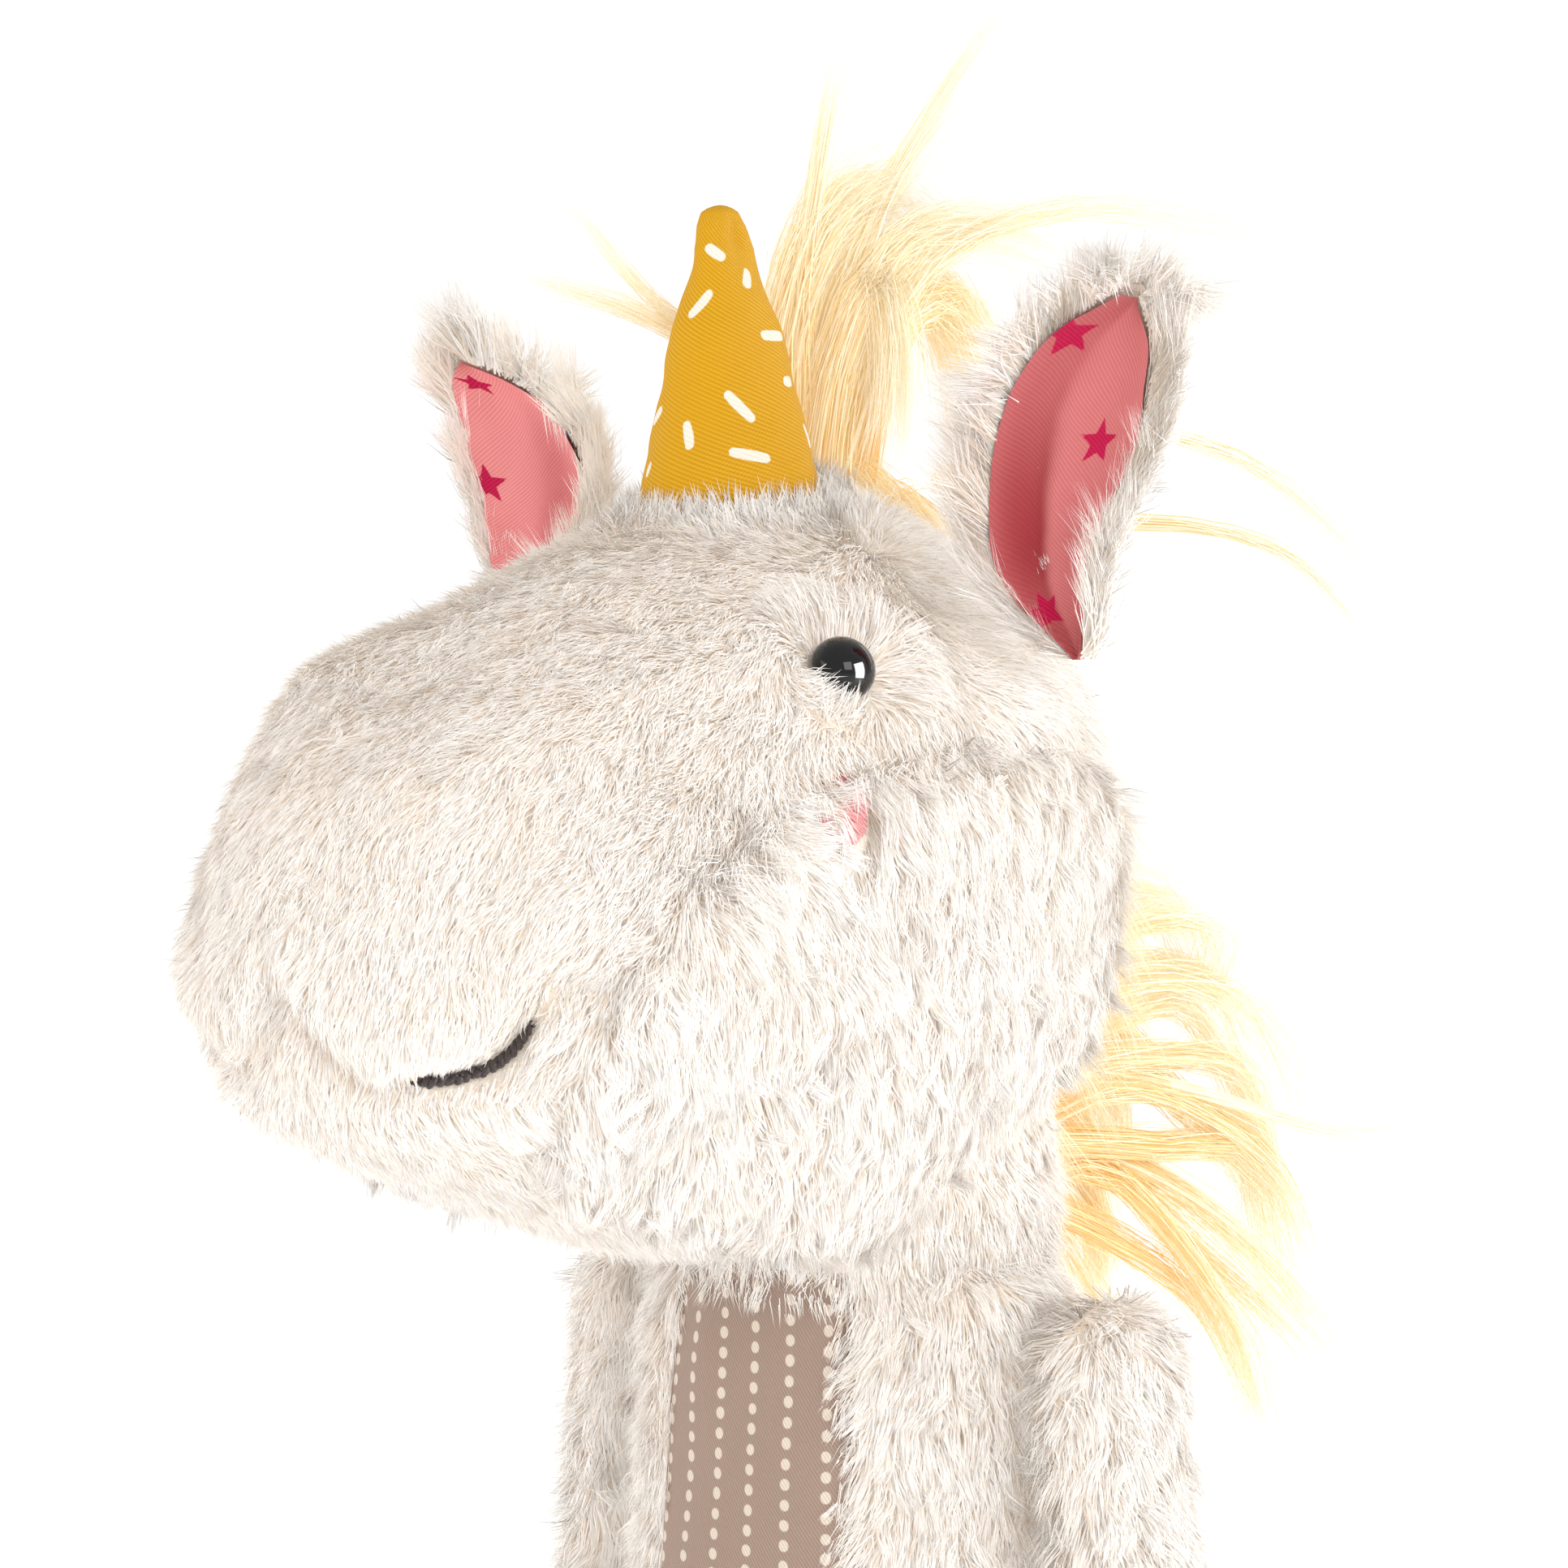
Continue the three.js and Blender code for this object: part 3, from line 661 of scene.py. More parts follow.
def head_comb(p):
    """Comb direction, length and lean of the head's pile."""
    q = to_left(p)
    out = outward_x(p)
    into_cheek, above, behind, lean, turn = head_marks(p)
    x, y, z = q.T
    # panels: towards the nose, and down over the cheeks, the back and the chin
    comb = np.tile(vec(0, -1, -0.3), (len(p), 1))
    comb = comb + vec(0, 0, -0.55) * smooth(x, 12, 42)[:, None]
    comb = blend_to(comb, vec(0, -0.2, -1), smooth(-y, 118, 148))
    cheek = smooth(into_cheek, -2, 3)
    comb = blend_to(comb, vec(0, -0.12, -1) + 0.25 * out, cheek)
    back = smooth(behind, -12, 8) * (1 - cheek)
    comb = blend_to(comb, vec(0, 0.55, -0.85), back)
    below = (turn < MOUTH_TURN) & (into_cheek < 0) & (y < 20)
    comb = blend_to(comb, vec(0, 0.75, -0.8) + 0.2 * out, below * 1.0)
    # ruffled along the cheek seam
    messy = hump(into_cheek + 1, 11) * hump(turn - 34, 26)
    comb = comb + (0.45 * messy)[:, None] * noise3(p, 11.0, 21)
    length = 6.5 + 3.5 * cheek + 1.5 * back + 1.0 * below + 3.0 * messy
    lie = 0.72 - 0.10 * cheek - 0.13 * messy
    # a fan of longer pile above and behind each eye
    eye = q - EYE_AT
    far = size_of(eye)
    fan = smooth(dot(unit(eye), unit(vec(0, 0.75, 0.65))), -0.35, 0.25)
    pull = hump(far, 19) * fan * (1 - cheek)
    away = unit(eye) * np.concatenate([np.sign(p[:, :1]), np.ones((len(p), 2))], axis=1)
    comb = blend_to(unit(comb), away, pull)
    length = length + 5.0 * pull
    lie = lie - 0.06 * pull
    # short beside the stitched mouth, longer over the cheek seam
    mouth = smooth(lean, 50, 60) * smooth(-y, 88, 100)
    mouth = mouth * smooth(90 - lean, SMILE_LEAN * STITCHED_FROM * 0.8, SMILE_LEAN * STITCHED_FROM)
    near = hump(above - 1.0, 5.0) * mouth
    length = length * (1 - 0.68 * near)
    seam = hump(into_cheek - 2.0, 3.5)
    length = length + 1.5 * seam * (1 - mouth)
    lie = lie - 0.10 * seam
    # over the lower front edge of each eye
    over = hump(far - 8, 4) * smooth(dot(unit(eye), unit(vec(0, -0.8, -0.6))), 0.3, 0.8)
    comb = blend_to(unit(comb), -away, over)
    length = blend_to(length * (0.35 + 0.65 * smooth(far, 6.0, 10.0) ** 0.7), 8.5, over)
    lie = blend_to(lie, 0.55, over)
    # across the front of each cheek spot, hanging over the cheek seam, and up around each ear's root
    spot = q - BLUSH_AT
    veil = hump(spot[:, 1] + 9.0, 4.5) * hump(spot[:, 2], 10) * (x > 30)
    comb = blend_to(unit(comb), vec(0, 1, -0.5), veil)
    length = blend_to(length, 6.5, veil)
    lie = blend_to(lie, 0.62, veil)
    hang = hump(into_cheek + 3, 3.5) * (1 - mouth) * smooth(y, -84, -70) * (x > 20)
    comb = blend_to(unit(comb), vec(0, 0.15, -1) + 0.2 * out, hang)
    length = length + 3.5 * hang * (1 - veil)
    root = hump(size_of(q - EAR_ROOT), 11)
    comb = blend_to(unit(comb), vec(0, -0.25, 1) + 0.3 * out, root)
    length = length + 3.0 * root
    lie = blend_to(lie, 0.42, root)
    # up against the horn's hem
    ring = np.hypot(p[:, 0], y - HORN_AT[1])
    hem = hump(ring - HORN_R, 9) * smooth(z, 276, 288)
    inward = -unit((p - HORN_AT) * vec(1, 1, 0))
    comb = blend_to(unit(comb), inward + vec(0, 0, 0.8), hem)
    lie = blend_to(lie, 0.30, hem)
    length = length + 1.5 * hem
    return comb, length, np.clip(lie, 0.1, 0.95)


def head_rooted(p):
    """Which roots on the head skin carry pile."""
    q = to_left(p)
    keep = size_of(p - NOD_AT) > SOCKET + 2.5
    keep &= size_of(q - EYE_AT) > 6.3
    keep &= np.hypot(p[:, 0], p[:, 1] - HORN_AT[1]) > np.where(p[:, 2] > 280, HORN_R - 0.5, -1)
    spot = q - BLUSH_AT
    on_spot = (spot[:, 2] / 7.2) ** 2 + (spot[:, 1] / 5.6) ** 2 + (spot[:, 0] / 12) ** 2 < 1
    keep &= ~(on_spot & (spot[:, 1] > -3.0))
    _, above, _, lean, _ = head_marks(p)
    stitched = (np.abs(above) < 1.5) & (lean > 62) & (lean < 90 - SMILE_LEAN * STITCHED_FROM)
    return keep & ~(stitched & (p[:, 1] < -90))


def make_head():
    panels = ["face_panel", "head_back_panel", "chin_panel", "cheek_panel_left", "cheek_panel_right"]
    o = skin("head_skin", panels + ["head_stuffing"], 3.4, 2.2, 2.0, head_relief)
    place(o, "head", "plush", "head_stuffing")
    rng = np.random.default_rng(11)
    p, n = scatter(o, 3.9, rng)
    keep = head_rooted(p)
    p, n = p[keep], n[keep]
    comb, length, lie = head_comb(p)
    into_cheek, above, behind, _, turn = head_marks(p)
    tuft = 0.45 + 0.30 * smooth(into_cheek, -3, 4) + 0.15 * (turn < MOUTH_TURN)
    wild = hump(into_cheek + 1, 11) * hump(turn - 34, 26)
    size = 2.4 + 0.5 * smooth(into_cheek, -2, 4) + 0.3 * wild + 0.3 * (turn < MOUTH_TURN)
    made = pile(p, n, rng, comb, length, lie, tuft=tuft - 0.1 * wild, tuft_size=size)
    in_cheek = into_cheek > 0
    which = np.select([in_cheek & (p[:, 0] > 0), in_cheek, behind > 0, above < 0], [3, 4, 1, 2], 0)
    which = np.where((which == 2) & (p[:, 1] > 20), 1, which)
    names = ["face_fur", "head_back_fur", "chin_fur", "cheek_fur_left", "cheek_fur_right"]
    for parts, node in zip(fur_pieces(names, which, *made), panels):
        finish_fur(parts, "head", node)
    return o


# ---------------------------------------------------------------- torso and neck
def torso_turn(p):
    return np.degrees(np.arctan2(np.abs(p[:, 0]) / TORSO_WIDE, -p[:, 1] / TORSO_DEEP))


def torso_relief(p, n):
    turn = torso_turn(p)
    x, y, z = p.T
    # side seams, shoulders, uneven stuffing and flanks; the belly stays flat for its cloth
    low = smooth(z, 155, 143)
    h = -2.0 * hump((turn - BELLY_TURN) * 0.8, 3.0) * low
    h -= 1.3 * hump((turn - BACK_TURN) * 0.8, 3.0) * low
    h += 8.0 * hump(z - 142, 15) * hump(y - 12, 26) * smooth(np.abs(x), 20, 34)
    h += 1.1 * noise(p, 24.0, 8) + 0.4 * noise(p, 8.0, 9)
    h += 4.5 * hump(turn - 84, 24) * smooth(z, 50, 80) * smooth(z, 152, 144)
    h = np.where((turn < BELLY_TURN) & (z < BELLY_TOP), np.minimum(h, -1.2), h)
    return np.where(z > 166, 0.0, h)


def make_torso():
    nodes = ["side_panel_left", "side_panel_right", "back_panel", "belly_panel", "seat_panel",
             "torso_stuffing", "neck_cloth", "neck_stuffing"]
    o = skin("body_skin", nodes, 3.4, 4.0, 2.5, torso_relief)
    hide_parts("torso_stuffing", "neck_stuffing")
    rng = np.random.default_rng(23)
    p, n = scatter(o, 2.9, rng)
    turn = torso_turn(p)
    rim = noise(p, 6.0, 41) * 1.5
    bare = (turn < BELLY_TURN + rim - 1) & (p[:, 2] < 147 + rim) & (p[:, 2] > 6)
    hidden = p[:, 2] > 184 + 12 * smooth(p[:, 1], 12, 32)
    keep = ~(bare | hidden) & (p[:, 2] > 0.5)
    p, n, turn = p[keep], n[keep], turn[keep]
    z = p[:, 2]
    out = outward_x(p)
    inward = hump((turn - BELLY_TURN) * 0.8, 9) * (z < BELLY_TOP)
    comb = vec(0, 0, -1) - 0.55 * out * inward[:, None]
    under = smooth(z, 8, 2)
    comb = blend_to(comb, p * vec(1, 1, 0) / 45, under)
    length = 9.5 - 5.0 * smooth(z, 158, 178) - 5.5 * under
    lie = 0.62 + 0.1 * smooth(z, 158, 172) + 0.2 * under
    made = pile(p, n, rng, comb, length, lie, tuft=0.72, tuft_size=3.0)
    which = np.select([z < 5.5, z > 146, turn > BACK_TURN, p[:, 0] > 0], [4, 3, 2, 0], 1)
    names = ["side_fur_left", "side_fur_right", "back_fur", "neck_fur", "seat_fur"]
    nodes = ["side_panel_left", "side_panel_right", "back_panel", "neck_cloth", "seat_panel"]
    pieces = fur_pieces(names, which, *made)
    for parts, node in zip(pieces, nodes):
        finish_fur(parts, None, node)
    for each in [o] + sum(pieces, []):
        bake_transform(each)
    return o


def make_belly(body):
    """The dotted twill panel, sewn in between the side panels over the body skin."""
    tree = tree_of(body)
    co, uv = [], []
    na, nb = 40, 84
    for j in range(nb + 1):
        z = BELLY_LOW + (BELLY_TOP - BELLY_LOW) * j / nb
        for i in range(na + 1):
            turn = math.radians(-BELLY_TURN - 3 + (2 * BELLY_TURN + 6) * i / na)
            way = Vector((math.sin(turn) * TORSO_WIDE, -math.cos(turn) * TORSO_DEEP, 0)).normalized()
            start = Vector((0, 0.0, z)) * MM + way * 0.12
            hit = tree.ray_cast(start, -way)[0]
            at = np.array(hit) / MM if hit else np.array((0, 0, z)) + np.array(way) * 40
            edge = 1 - hump(BELLY_TURN + 3 - abs(math.degrees(turn)), 3.0)
            co.append(at + np.array(way) * (0.9 + 1.6 * edge))
            uv.append((math.degrees(turn) * BELLY_MM, z))
    co, uv = np.array(co), np.array(uv)
    ripple = noise(np.concatenate([uv, 0 * uv[:, :1]], axis=1) * vec(1, 0.6, 1), 13.0, 3)
    out = unit(co * vec(1, 1, 0))
    co = co + out * (0.7 * ripple)[:, None]
    o = piece("belly_cloth", co, grid_faces(na, nb), [dotted_twill()])
    set_uv(o, uv)
    place(o, "torso", "dotted_twill", "belly_panel")
    return o


def set_uv(o, uv):
    layer = o.data.uv_layers.new(name="mm")
    index = rows_of(o.data.loops, "vertex_index", 1)[:, 0]
    layer.data.foreach_set("uv", np.asarray(uv)[index].astype(np.float32).ravel())


def set_value(o, name, values):
    a = o.data.attributes.new(name, "FLOAT", "POINT")
    a.data.foreach_set("value", np.asarray(values, np.float32))


# ---------------------------------------------------------------- limbs
def limb_relief(kind, seed):
    def relief(p, n):
        h = 0.9 * noise(p, 20.0, seed) + 0.4 * noise(p, 7.0, seed + 1)
        if kind == "arm":
            h = h + 2.4 + 1.6 * smooth(p[:, 2], 110, 140)
            h = h - 2.4 * smooth(-n[:, 0] * np.sign(p[:, 0]), 0.0, 0.7)
        return h

    return relief


def make_limb(kind, side, body, seed):
    """An arm or a leg with its pile; the pile leaves the sole free."""
    nodes = [f"{kind}_{side}", f"{kind}_stuffing_{side}"]
    if kind == "leg":
        nodes.append(f"sole_{side}")
    o = skin(f"{kind}_skin_{side}", nodes, 3.2, 3.4, 2.0, limb_relief(kind, seed))
    place(o, body, "plush", f"{kind}_stuffing_{side}")
    rng = np.random.default_rng(seed)
    p, n = scatter(o, 2.7, rng)
    out = outward_x(p)
    if kind == "leg":
        middle, way = foot_axis(side)
        along = (p - middle) @ way
        keep = (along < -9) | (size_of(p - middle - along[:, None] * way) > SOLE_R - 0.6)
        p, n, out = p[keep], n[keep], out[keep]
        comb = vec(0, -1, -0.45) + 0.2 * out
        length = 8.5 - 4.5 * smooth(p[:, 2], 8, 3)
        lie = 0.62 + 0.2 * smooth(p[:, 2], 8, 3)
    else:
        comb = vec(0, -0.05, -1) + 0.1 * out
        facing = n[:, 0] * np.sign(p[:, 0])
        outer = smooth(facing, -0.3, 0.6)
        inner = smooth(facing, 0.1, -0.5) * smooth(p[:, 2], 60, 100)
        length = 8.0 + 3.0 * outer + 4.0 * inner
        lie = 0.66 - 0.14 * outer - 0.2 * inner
    made = pile(p, n, rng, comb, length, lie, tuft=0.7, tuft_size=2.8)
    finish_fur(fur_pieces([f"{kind}_fur_{side}"], np.zeros(len(p)), *made)[0], body, f"{kind}_{side}")
    return o


# ---------------------------------------------------------------- curves and tubes
def between(a, b, c, d, f):
    """A smooth step from b to c, with a and d as their neighbours."""
    return b + 0.5 * f * (c - a + f * (2 * a - 5 * b + 4 * c - d + f * (3 * (b - c) + d - a)))


def through_points(points, t):
    """Points on a smooth curve through the given ones; t from 0 to 1, any shape."""
    pts = np.asarray(points, float)
    last = len(pts) - 1
    at = np.clip(np.asarray(t) * last, 0, last - 1e-9)
    i = at.astype(int)
    f = (at - i)[..., None]
    a, b = pts[np.maximum(i - 1, 0)], pts[i]
    c, d = pts[i + 1], pts[np.minimum(i + 2, last)]
    return between(a, b, c, d, f)


def through_values(rows, t):
    """Smooth value through (position, value) rows at any positions."""
    xs, ys = np.array(rows, float).T
    i = np.clip(np.searchsorted(xs, t, side="right") - 1, 0, len(xs) - 2)
    f = np.clip((t - xs[i]) / (xs[i + 1] - xs[i]), 0, 1)
    a, b = ys[np.maximum(i - 1, 0)], ys[i]
    c, d = ys[i + 1], ys[np.minimum(i + 2, len(ys) - 1)]
    return between(a, b, c, d, f)


def grid_faces(na, nb, closed=False):
    """Quads of a grid with nb + 1 rows of points: na + 1 in each, or na if it closes on itself."""
    row = na if closed else na + 1
    corners = ((0, 0), (0, 1), (1, 1), (1, 0))
    return [
        tuple((j + up) * row + (i + on) % row for up, on in corners)
        for j in range(nb) for i in range(na)
    ]


def tube(path, radius):
    """Points and faces of a thread along a path, with a radius for each of its points."""
    round_sides = 7
    way = unit(np.gradient(path, axis=0))
    side = unit(np.cross(way, vec(0.3, 0.5, 0.81)))
    up = np.cross(way, side)
    turn = 2 * np.pi * np.arange(round_sides) / round_sides
    r = np.asarray(radius)[:, None, None]
    turned = np.cos(turn)[None, :, None] * side[:, None] + np.sin(turn)[None, :, None] * up[:, None]
    co = path[:, None] + r * turned
    return co.reshape(-1, 3), grid_faces(round_sides, len(path) - 1, closed=True)


def threads(name, paths, radii, material):
    co, faces, at = [], [], 0
    for path, radius in zip(paths, radii):
        part, quads = tube(path, radius)
        co.append(part)
        faces += [tuple(v + at for v in q) for q in quads]
        at += len(part)
    return piece(name, np.concatenate(co), faces, [material])


def cut_area(o):
    return sum(f.area for f in o.data.polygons)


def signed(uv, shape, at, size, turn):
    """Distance in mm that uv lies inside a printed figure: a five-pointed star or a rounded bar."""
    d = uv - np.asarray(at, float)
    c, s = math.cos(math.radians(turn)), math.sin(math.radians(turn))
    x, y = d[:, 0] * c + d[:, 1] * s, -d[:, 0] * s + d[:, 1] * c
    if shape == "bar":
        half, r = size[0] / 2 - size[1] / 2, size[1] / 2
        fat = r * (1 - 0.25 * (x / max(size[0] / 2, 1e-6)) ** 2)
        return fat - np.hypot(np.maximum(np.abs(x) - half, 0), y)
    r, tip = np.hypot(x, y), size / 2
    fold = np.abs((np.arctan2(x, y) + np.pi / 5) % (2 * np.pi / 5) - np.pi / 5)
    px, py = r * np.cos(fold), r * np.sin(fold)
    inner = 0.42 * tip
    ex, ey = inner * math.cos(math.pi / 5) - tip, inner * math.sin(math.pi / 5)
    return ((px - tip) * ey - py * ex) / -math.hypot(ex, ey)


def prints(uv, figures):
    inside = np.full(len(uv), OUTSIDE)
    for figure in figures:
        inside = np.maximum(inside, signed(uv, *figure))
    return inside


# ---------------------------------------------------------------- face details
def on_skin(tree, way, lift):
    """The point of the head skin in a direction from its middle, with the skin's normal."""
    start = Vector(HEAD_MID * MM) + Vector(way) * 0.16
    at, normal = tree.ray_cast(start, -Vector(way))[:2]
    at, normal = np.array(at) / MM, np.array(normal)
    return at + normal * lift, normal


def head_way(turn, lean):
    turn, lean = math.radians(turn), math.radians(lean)
    return (math.cos(lean), -math.sin(lean) * math.cos(turn), math.sin(lean) * math.sin(turn))


def make_mouth(tree):
    """Chain stitches: two plies twisted round one another in the bottom of the mouth seam."""
    line, out = [], []
    for s in np.linspace(-1, 1, 90):
        sunk = 2.6 * smooth(abs(s), STITCHED_FROM, STITCHED_FROM - 0.12)
        p, n = on_skin(tree, head_way(float(smile_turn(s)), 90 - SMILE_LEAN * s), -sunk)
        line.append(p)
        out.append(n)
    t = np.linspace(0, 1, 700)
    centre = through_points(relax_line(np.array(line)), t)
    normal = unit(through_points(np.array(out), t))
    long = np.concatenate([[0], np.cumsum(size_of(np.diff(centre, axis=0)))])
    way = unit(np.gradient(centre, axis=0))
    side = np.cross(way, normal)
    paths, radii = [], []
    ends = np.sqrt(np.clip(1 - np.abs(2 * t - 1) ** 24, 0.05, 1))
    for ply in range(2):
        turn = 2 * np.pi * long / 3.1 + np.pi * ply
        ply_up, ply_side = (1.0 + 0.30 * np.sin(turn))[:, None], (0.52 * np.cos(turn))[:, None]
        paths.append(centre + normal * ply_up + side * ply_side)
        radii.append(0.62 * ends * (1 + 0.12 * np.sin(2 * np.pi * long / 0.9)))
    thread = mottled("brown_thread", (0.018, 0.009, 0.008), (0.055, 0.030, 0.024), 0.55, 1200.0, 0.2,
                     3500.0, 0.0002, Sheen_Weight=0.3, Specular_IOR_Level=0.5)
    o = threads("mouth_stitches", paths, radii, thread)
    place(o, "head", "brown_thread", "mouth_stitching")


def relax_line(line):
    for _ in range(6):
        line[1:-1] = line[1:-1] * 0.5 + (line[:-2] + line[2:]) * 0.25
    return line


def make_blush(tree, side, mat):
    """Satin stitch: slanted threads laid side by side over an oval."""
    sign = 1 if side == "left" else -1
    rng = np.random.default_rng(7 + sign)
    paths, radii = [], []
    middle = unit(BLUSH_AT - HEAD_MID)
    up = unit(vec(0, 0, 1) - middle[2] * middle)
    along = np.cross(up, middle)
    lean = math.radians(28)
    a, b = up * math.cos(lean) + along * math.sin(lean), along * math.cos(lean) - up * math.sin(lean)
    rows = 34
    for k in range(rows):
        v = -1 + 2 * (k + 0.5) / rows
        half = math.sqrt(1 - v * v) * 5.2 * (1 + 0.05 * rng.standard_normal())
        row = []
        for u in np.linspace(-1, 1, 12):
            offset = a * (v * 6.8) + b * (u * half)
            way = unit(middle * 62 + offset)
            p, n = on_skin(tree, way * np.array([sign, 1, 1]), 0.5 + 0.9 * math.sqrt(1 - 0.92 * u * u))
            row.append(p)
        path = np.array(row) + rng.normal(0, 0.05, (12, 3))
        paths.append(path)
        radii.append(0.26 * np.sqrt(np.clip(1 - np.linspace(-1, 1, 12) ** 8, 0.1, 1)))
    o = threads(f"blush_stitches_{side}", paths, radii, mat)
    place(o, "head", "pink_thread", f"blush_{side}")


def make_eye(side, mat):
    """A smooth black dome and its shank on the axis of the washer behind it."""
    ring = points_of(NODES[f"eye_washer_{side}"].data)
    middle = ring.mean(axis=0)
    out = np.linalg.svd(ring - middle)[2][2]
    out = out * np.sign(out @ (middle - HEAD_MID))
    top = middle + out * 7.2
    side_way = unit(np.cross(out, vec(0, 0, 1)))
    up = np.cross(side_way, out)
    rows = [(math.sin(a) * 6.0, -2.6 + 5.4 * math.cos(a)) for a in map(math.radians, range(0, 91, 5))]
    rows += [(5.9, -3.1), (5.2, -3.4), (1.6, -3.5), (1.5, -9)]
    n, pts = 56, []
    for r, h in rows:
        for i in range(n):
            turn = 2 * math.pi * i / n
            pts.append(top + out * h + max(r, 0.02) * (side_way * math.cos(turn) + up * math.sin(turn)))
    o = piece(f"eye_dome_{side}", pts, grid_faces(n, len(rows) - 1, closed=True), [mat])
    place(o, "head", "black_gloss", f"eye_{side}")


def eye_plastic():
    s = Shader("black_gloss", (0.004, 0.004, 0.005), 0.05, Coat_Weight=0.35, Coat_Roughness=0.02,
               Specular_IOR_Level=0.2)
    s.drive("Roughness", s.ranged(s.noise(400.0), 0.3, 0.8, 0.035, 0.085))
    return s.material


# ---------------------------------------------------------------- horn
HORN_SIDE = [  # radius at each share of the height
    (0, 17.6), (0.12, 16.2), (0.32, 13.4), (0.5, 10.9), (0.68, 8.2), (0.85, 5.6), (0.93, 4.4), (0.975, 3.5),
    (1, 2.2),
]
SPRINKLES = [  # degrees from the front towards the toy's left, height share, length, tilt
    (26, 0.83, 4.8, -35), (9, 0.65, 6.7, 50), (95, 0.54, 7.0, 0), (102, 0.38, 4.0, 0),
    (49, 0.29, 8.0, -45), (10, 0.19, 6.0, -70), (54, 0.12, 8.3, -10), (115, 0.19, 5.0, 90),
    (-35, 0.26, 5.0, 40), (-25, 0.07, 3.5, 60), (-60, 0.60, 5.5, -30), (-75, 0.40, 7.0, 70),
    (-95, 0.20, 6.5, 15), (-70, 0.10, 5.0, -60), (-110, 0.50, 5.5, -50), (-140, 0.32, 7.0, 20),
    (-150, 0.68, 5.5, 75), (-135, 0.12, 6.5, -25), (-175, 0.18, 6.0, 60), (170, 0.45, 6.5, -15),
    (145, 0.28, 7.0, -70), (150, 0.60, 6.0, 35), (135, 0.10, 6.5, 25), (80, 0.74, 4.5, 60),
    (-100, 0.80, 4.5, 10),
]


def make_horn():
    """A stuffed twill cone with a back seam, a blunt soft tip and the dents its filling leaves."""
    na, nb = 220, 130
    b = np.linspace(-0.15, 1, nb + 1)
    turn = np.linspace(-np.pi, np.pi, na, endpoint=False)
    bb, tt = np.meshgrid(b, turn, indexing="ij")
    r = through_values(HORN_SIDE, np.maximum(bb, 0).ravel()).reshape(bb.shape) - 4 * np.minimum(bb, 0)
    up = np.where(bb > 0.97, HORN_H * (0.97 + 0.03 * np.sin((bb - 0.97) / 0.03 * np.pi / 2)), HORN_H * bb)
    r = np.where(bb > 0.97, r * np.cos(np.clip((bb - 0.97) / 0.03, 0, 1) * np.pi / 2 * 0.97), r)
    flat = np.stack([r * np.sin(tt), -r * np.cos(tt), up], axis=-1).reshape(-1, 3)
    out = unit(flat * vec(1, 1, 0))
    r, tt, z = r.ravel(), tt.ravel(), flat[:, 2]
    dents = 0.9 * noise(flat, 13.0, 3) + 0.35 * noise(flat, 5.0, 4)
    dents += 0.45 * np.sin(z / 3.1 + 2.5 * tt) * smooth(z, 26, 48)
    dents -= 1.0 * hump((np.abs(tt) - np.pi) * r, 1.4)
    dents -= 1.3 * hump(np.degrees(tt) - 80, 22) * hump(z - 47, 5)
    dents = dents * smooth(r, 0.5, 5.0)
    lean = vec(1.2, -4.0, 0) * (z / HORN_H)[:, None] ** 2
    co = HORN_AT + flat + lean + out * dents[:, None]
    uv = np.stack([tt * 10.5, z], axis=1)
    mat = printed_twill("yellow_twill", (0.54, 0.262, 0.005), (0.75, 0.402, 0.012), (0.65, 0.33, 0.008),
                        (0.80, 0.74, 0.62), (0.90, 0.86, 0.76), 1.35, math.radians(62))
    o = piece("horn_cloth", co, grid_faces(na, nb, closed=True), [mat])
    set_uv(o, uv)
    inside = np.full(len(co), OUTSIDE)
    for turn_at, high, long, tilt in SPRINKLES:
        radius = through_values(HORN_SIDE, np.array([high]))[0]
        gap = (tt - math.radians(turn_at) + np.pi) % (2 * np.pi) - np.pi
        local = np.stack([gap * radius, z - high * HORN_H], axis=1)
        inside = np.maximum(inside, signed(local, "bar", (0, 0), (long, 2.0), tilt))
    set_value(o, "print", inside)
    place(o, "horn", "yellow_twill", "horn_cover", "horn_stuffing")


# ---------------------------------------------------------------- ears
EAR_EDGES = {  # outer and inner edge from the root to the tip, [x, z], and how far forward they lie
    "left": ([(70.5, 268), (77, 281), (83.5, 293), (89, 303), (92, 313), (93, 323), (90.5, 331.5)],
             [(69.5, 268), (63, 277), (58.2, 287), (57.8, 300), (61, 312), (70.5, 324.5), (86, 332)], -31),
    "right": ([(68, 267), (73, 279), (77.5, 291), (81, 302), (84, 312), (86, 319), (84, 323)],
              [(66, 267), (58, 277), (50, 287), (45.5, 297), (48, 307), (58.5, 316.5), (79, 323.5)], -27),
}
EAR_WIDE = [1, 18, 28, 33, 32, 22, 5]
EAR_STARS = {
    "left": [("star", (-8, 56.5), 8.8, 10), ("star", (4.0, 38), 9.0, -4), ("star", (-6.0, 10), 8.0, 20)],
    "right": [("star", (6.0, 56), 7.5, 15), ("star", (14.0, 30), 9.0, -5), ("star", (-8, 22), 8.5, 30)],
}


def crease_at(b):
    return 0.10 + 0.22 * b + 0.05 * np.sin(7.0 * b)


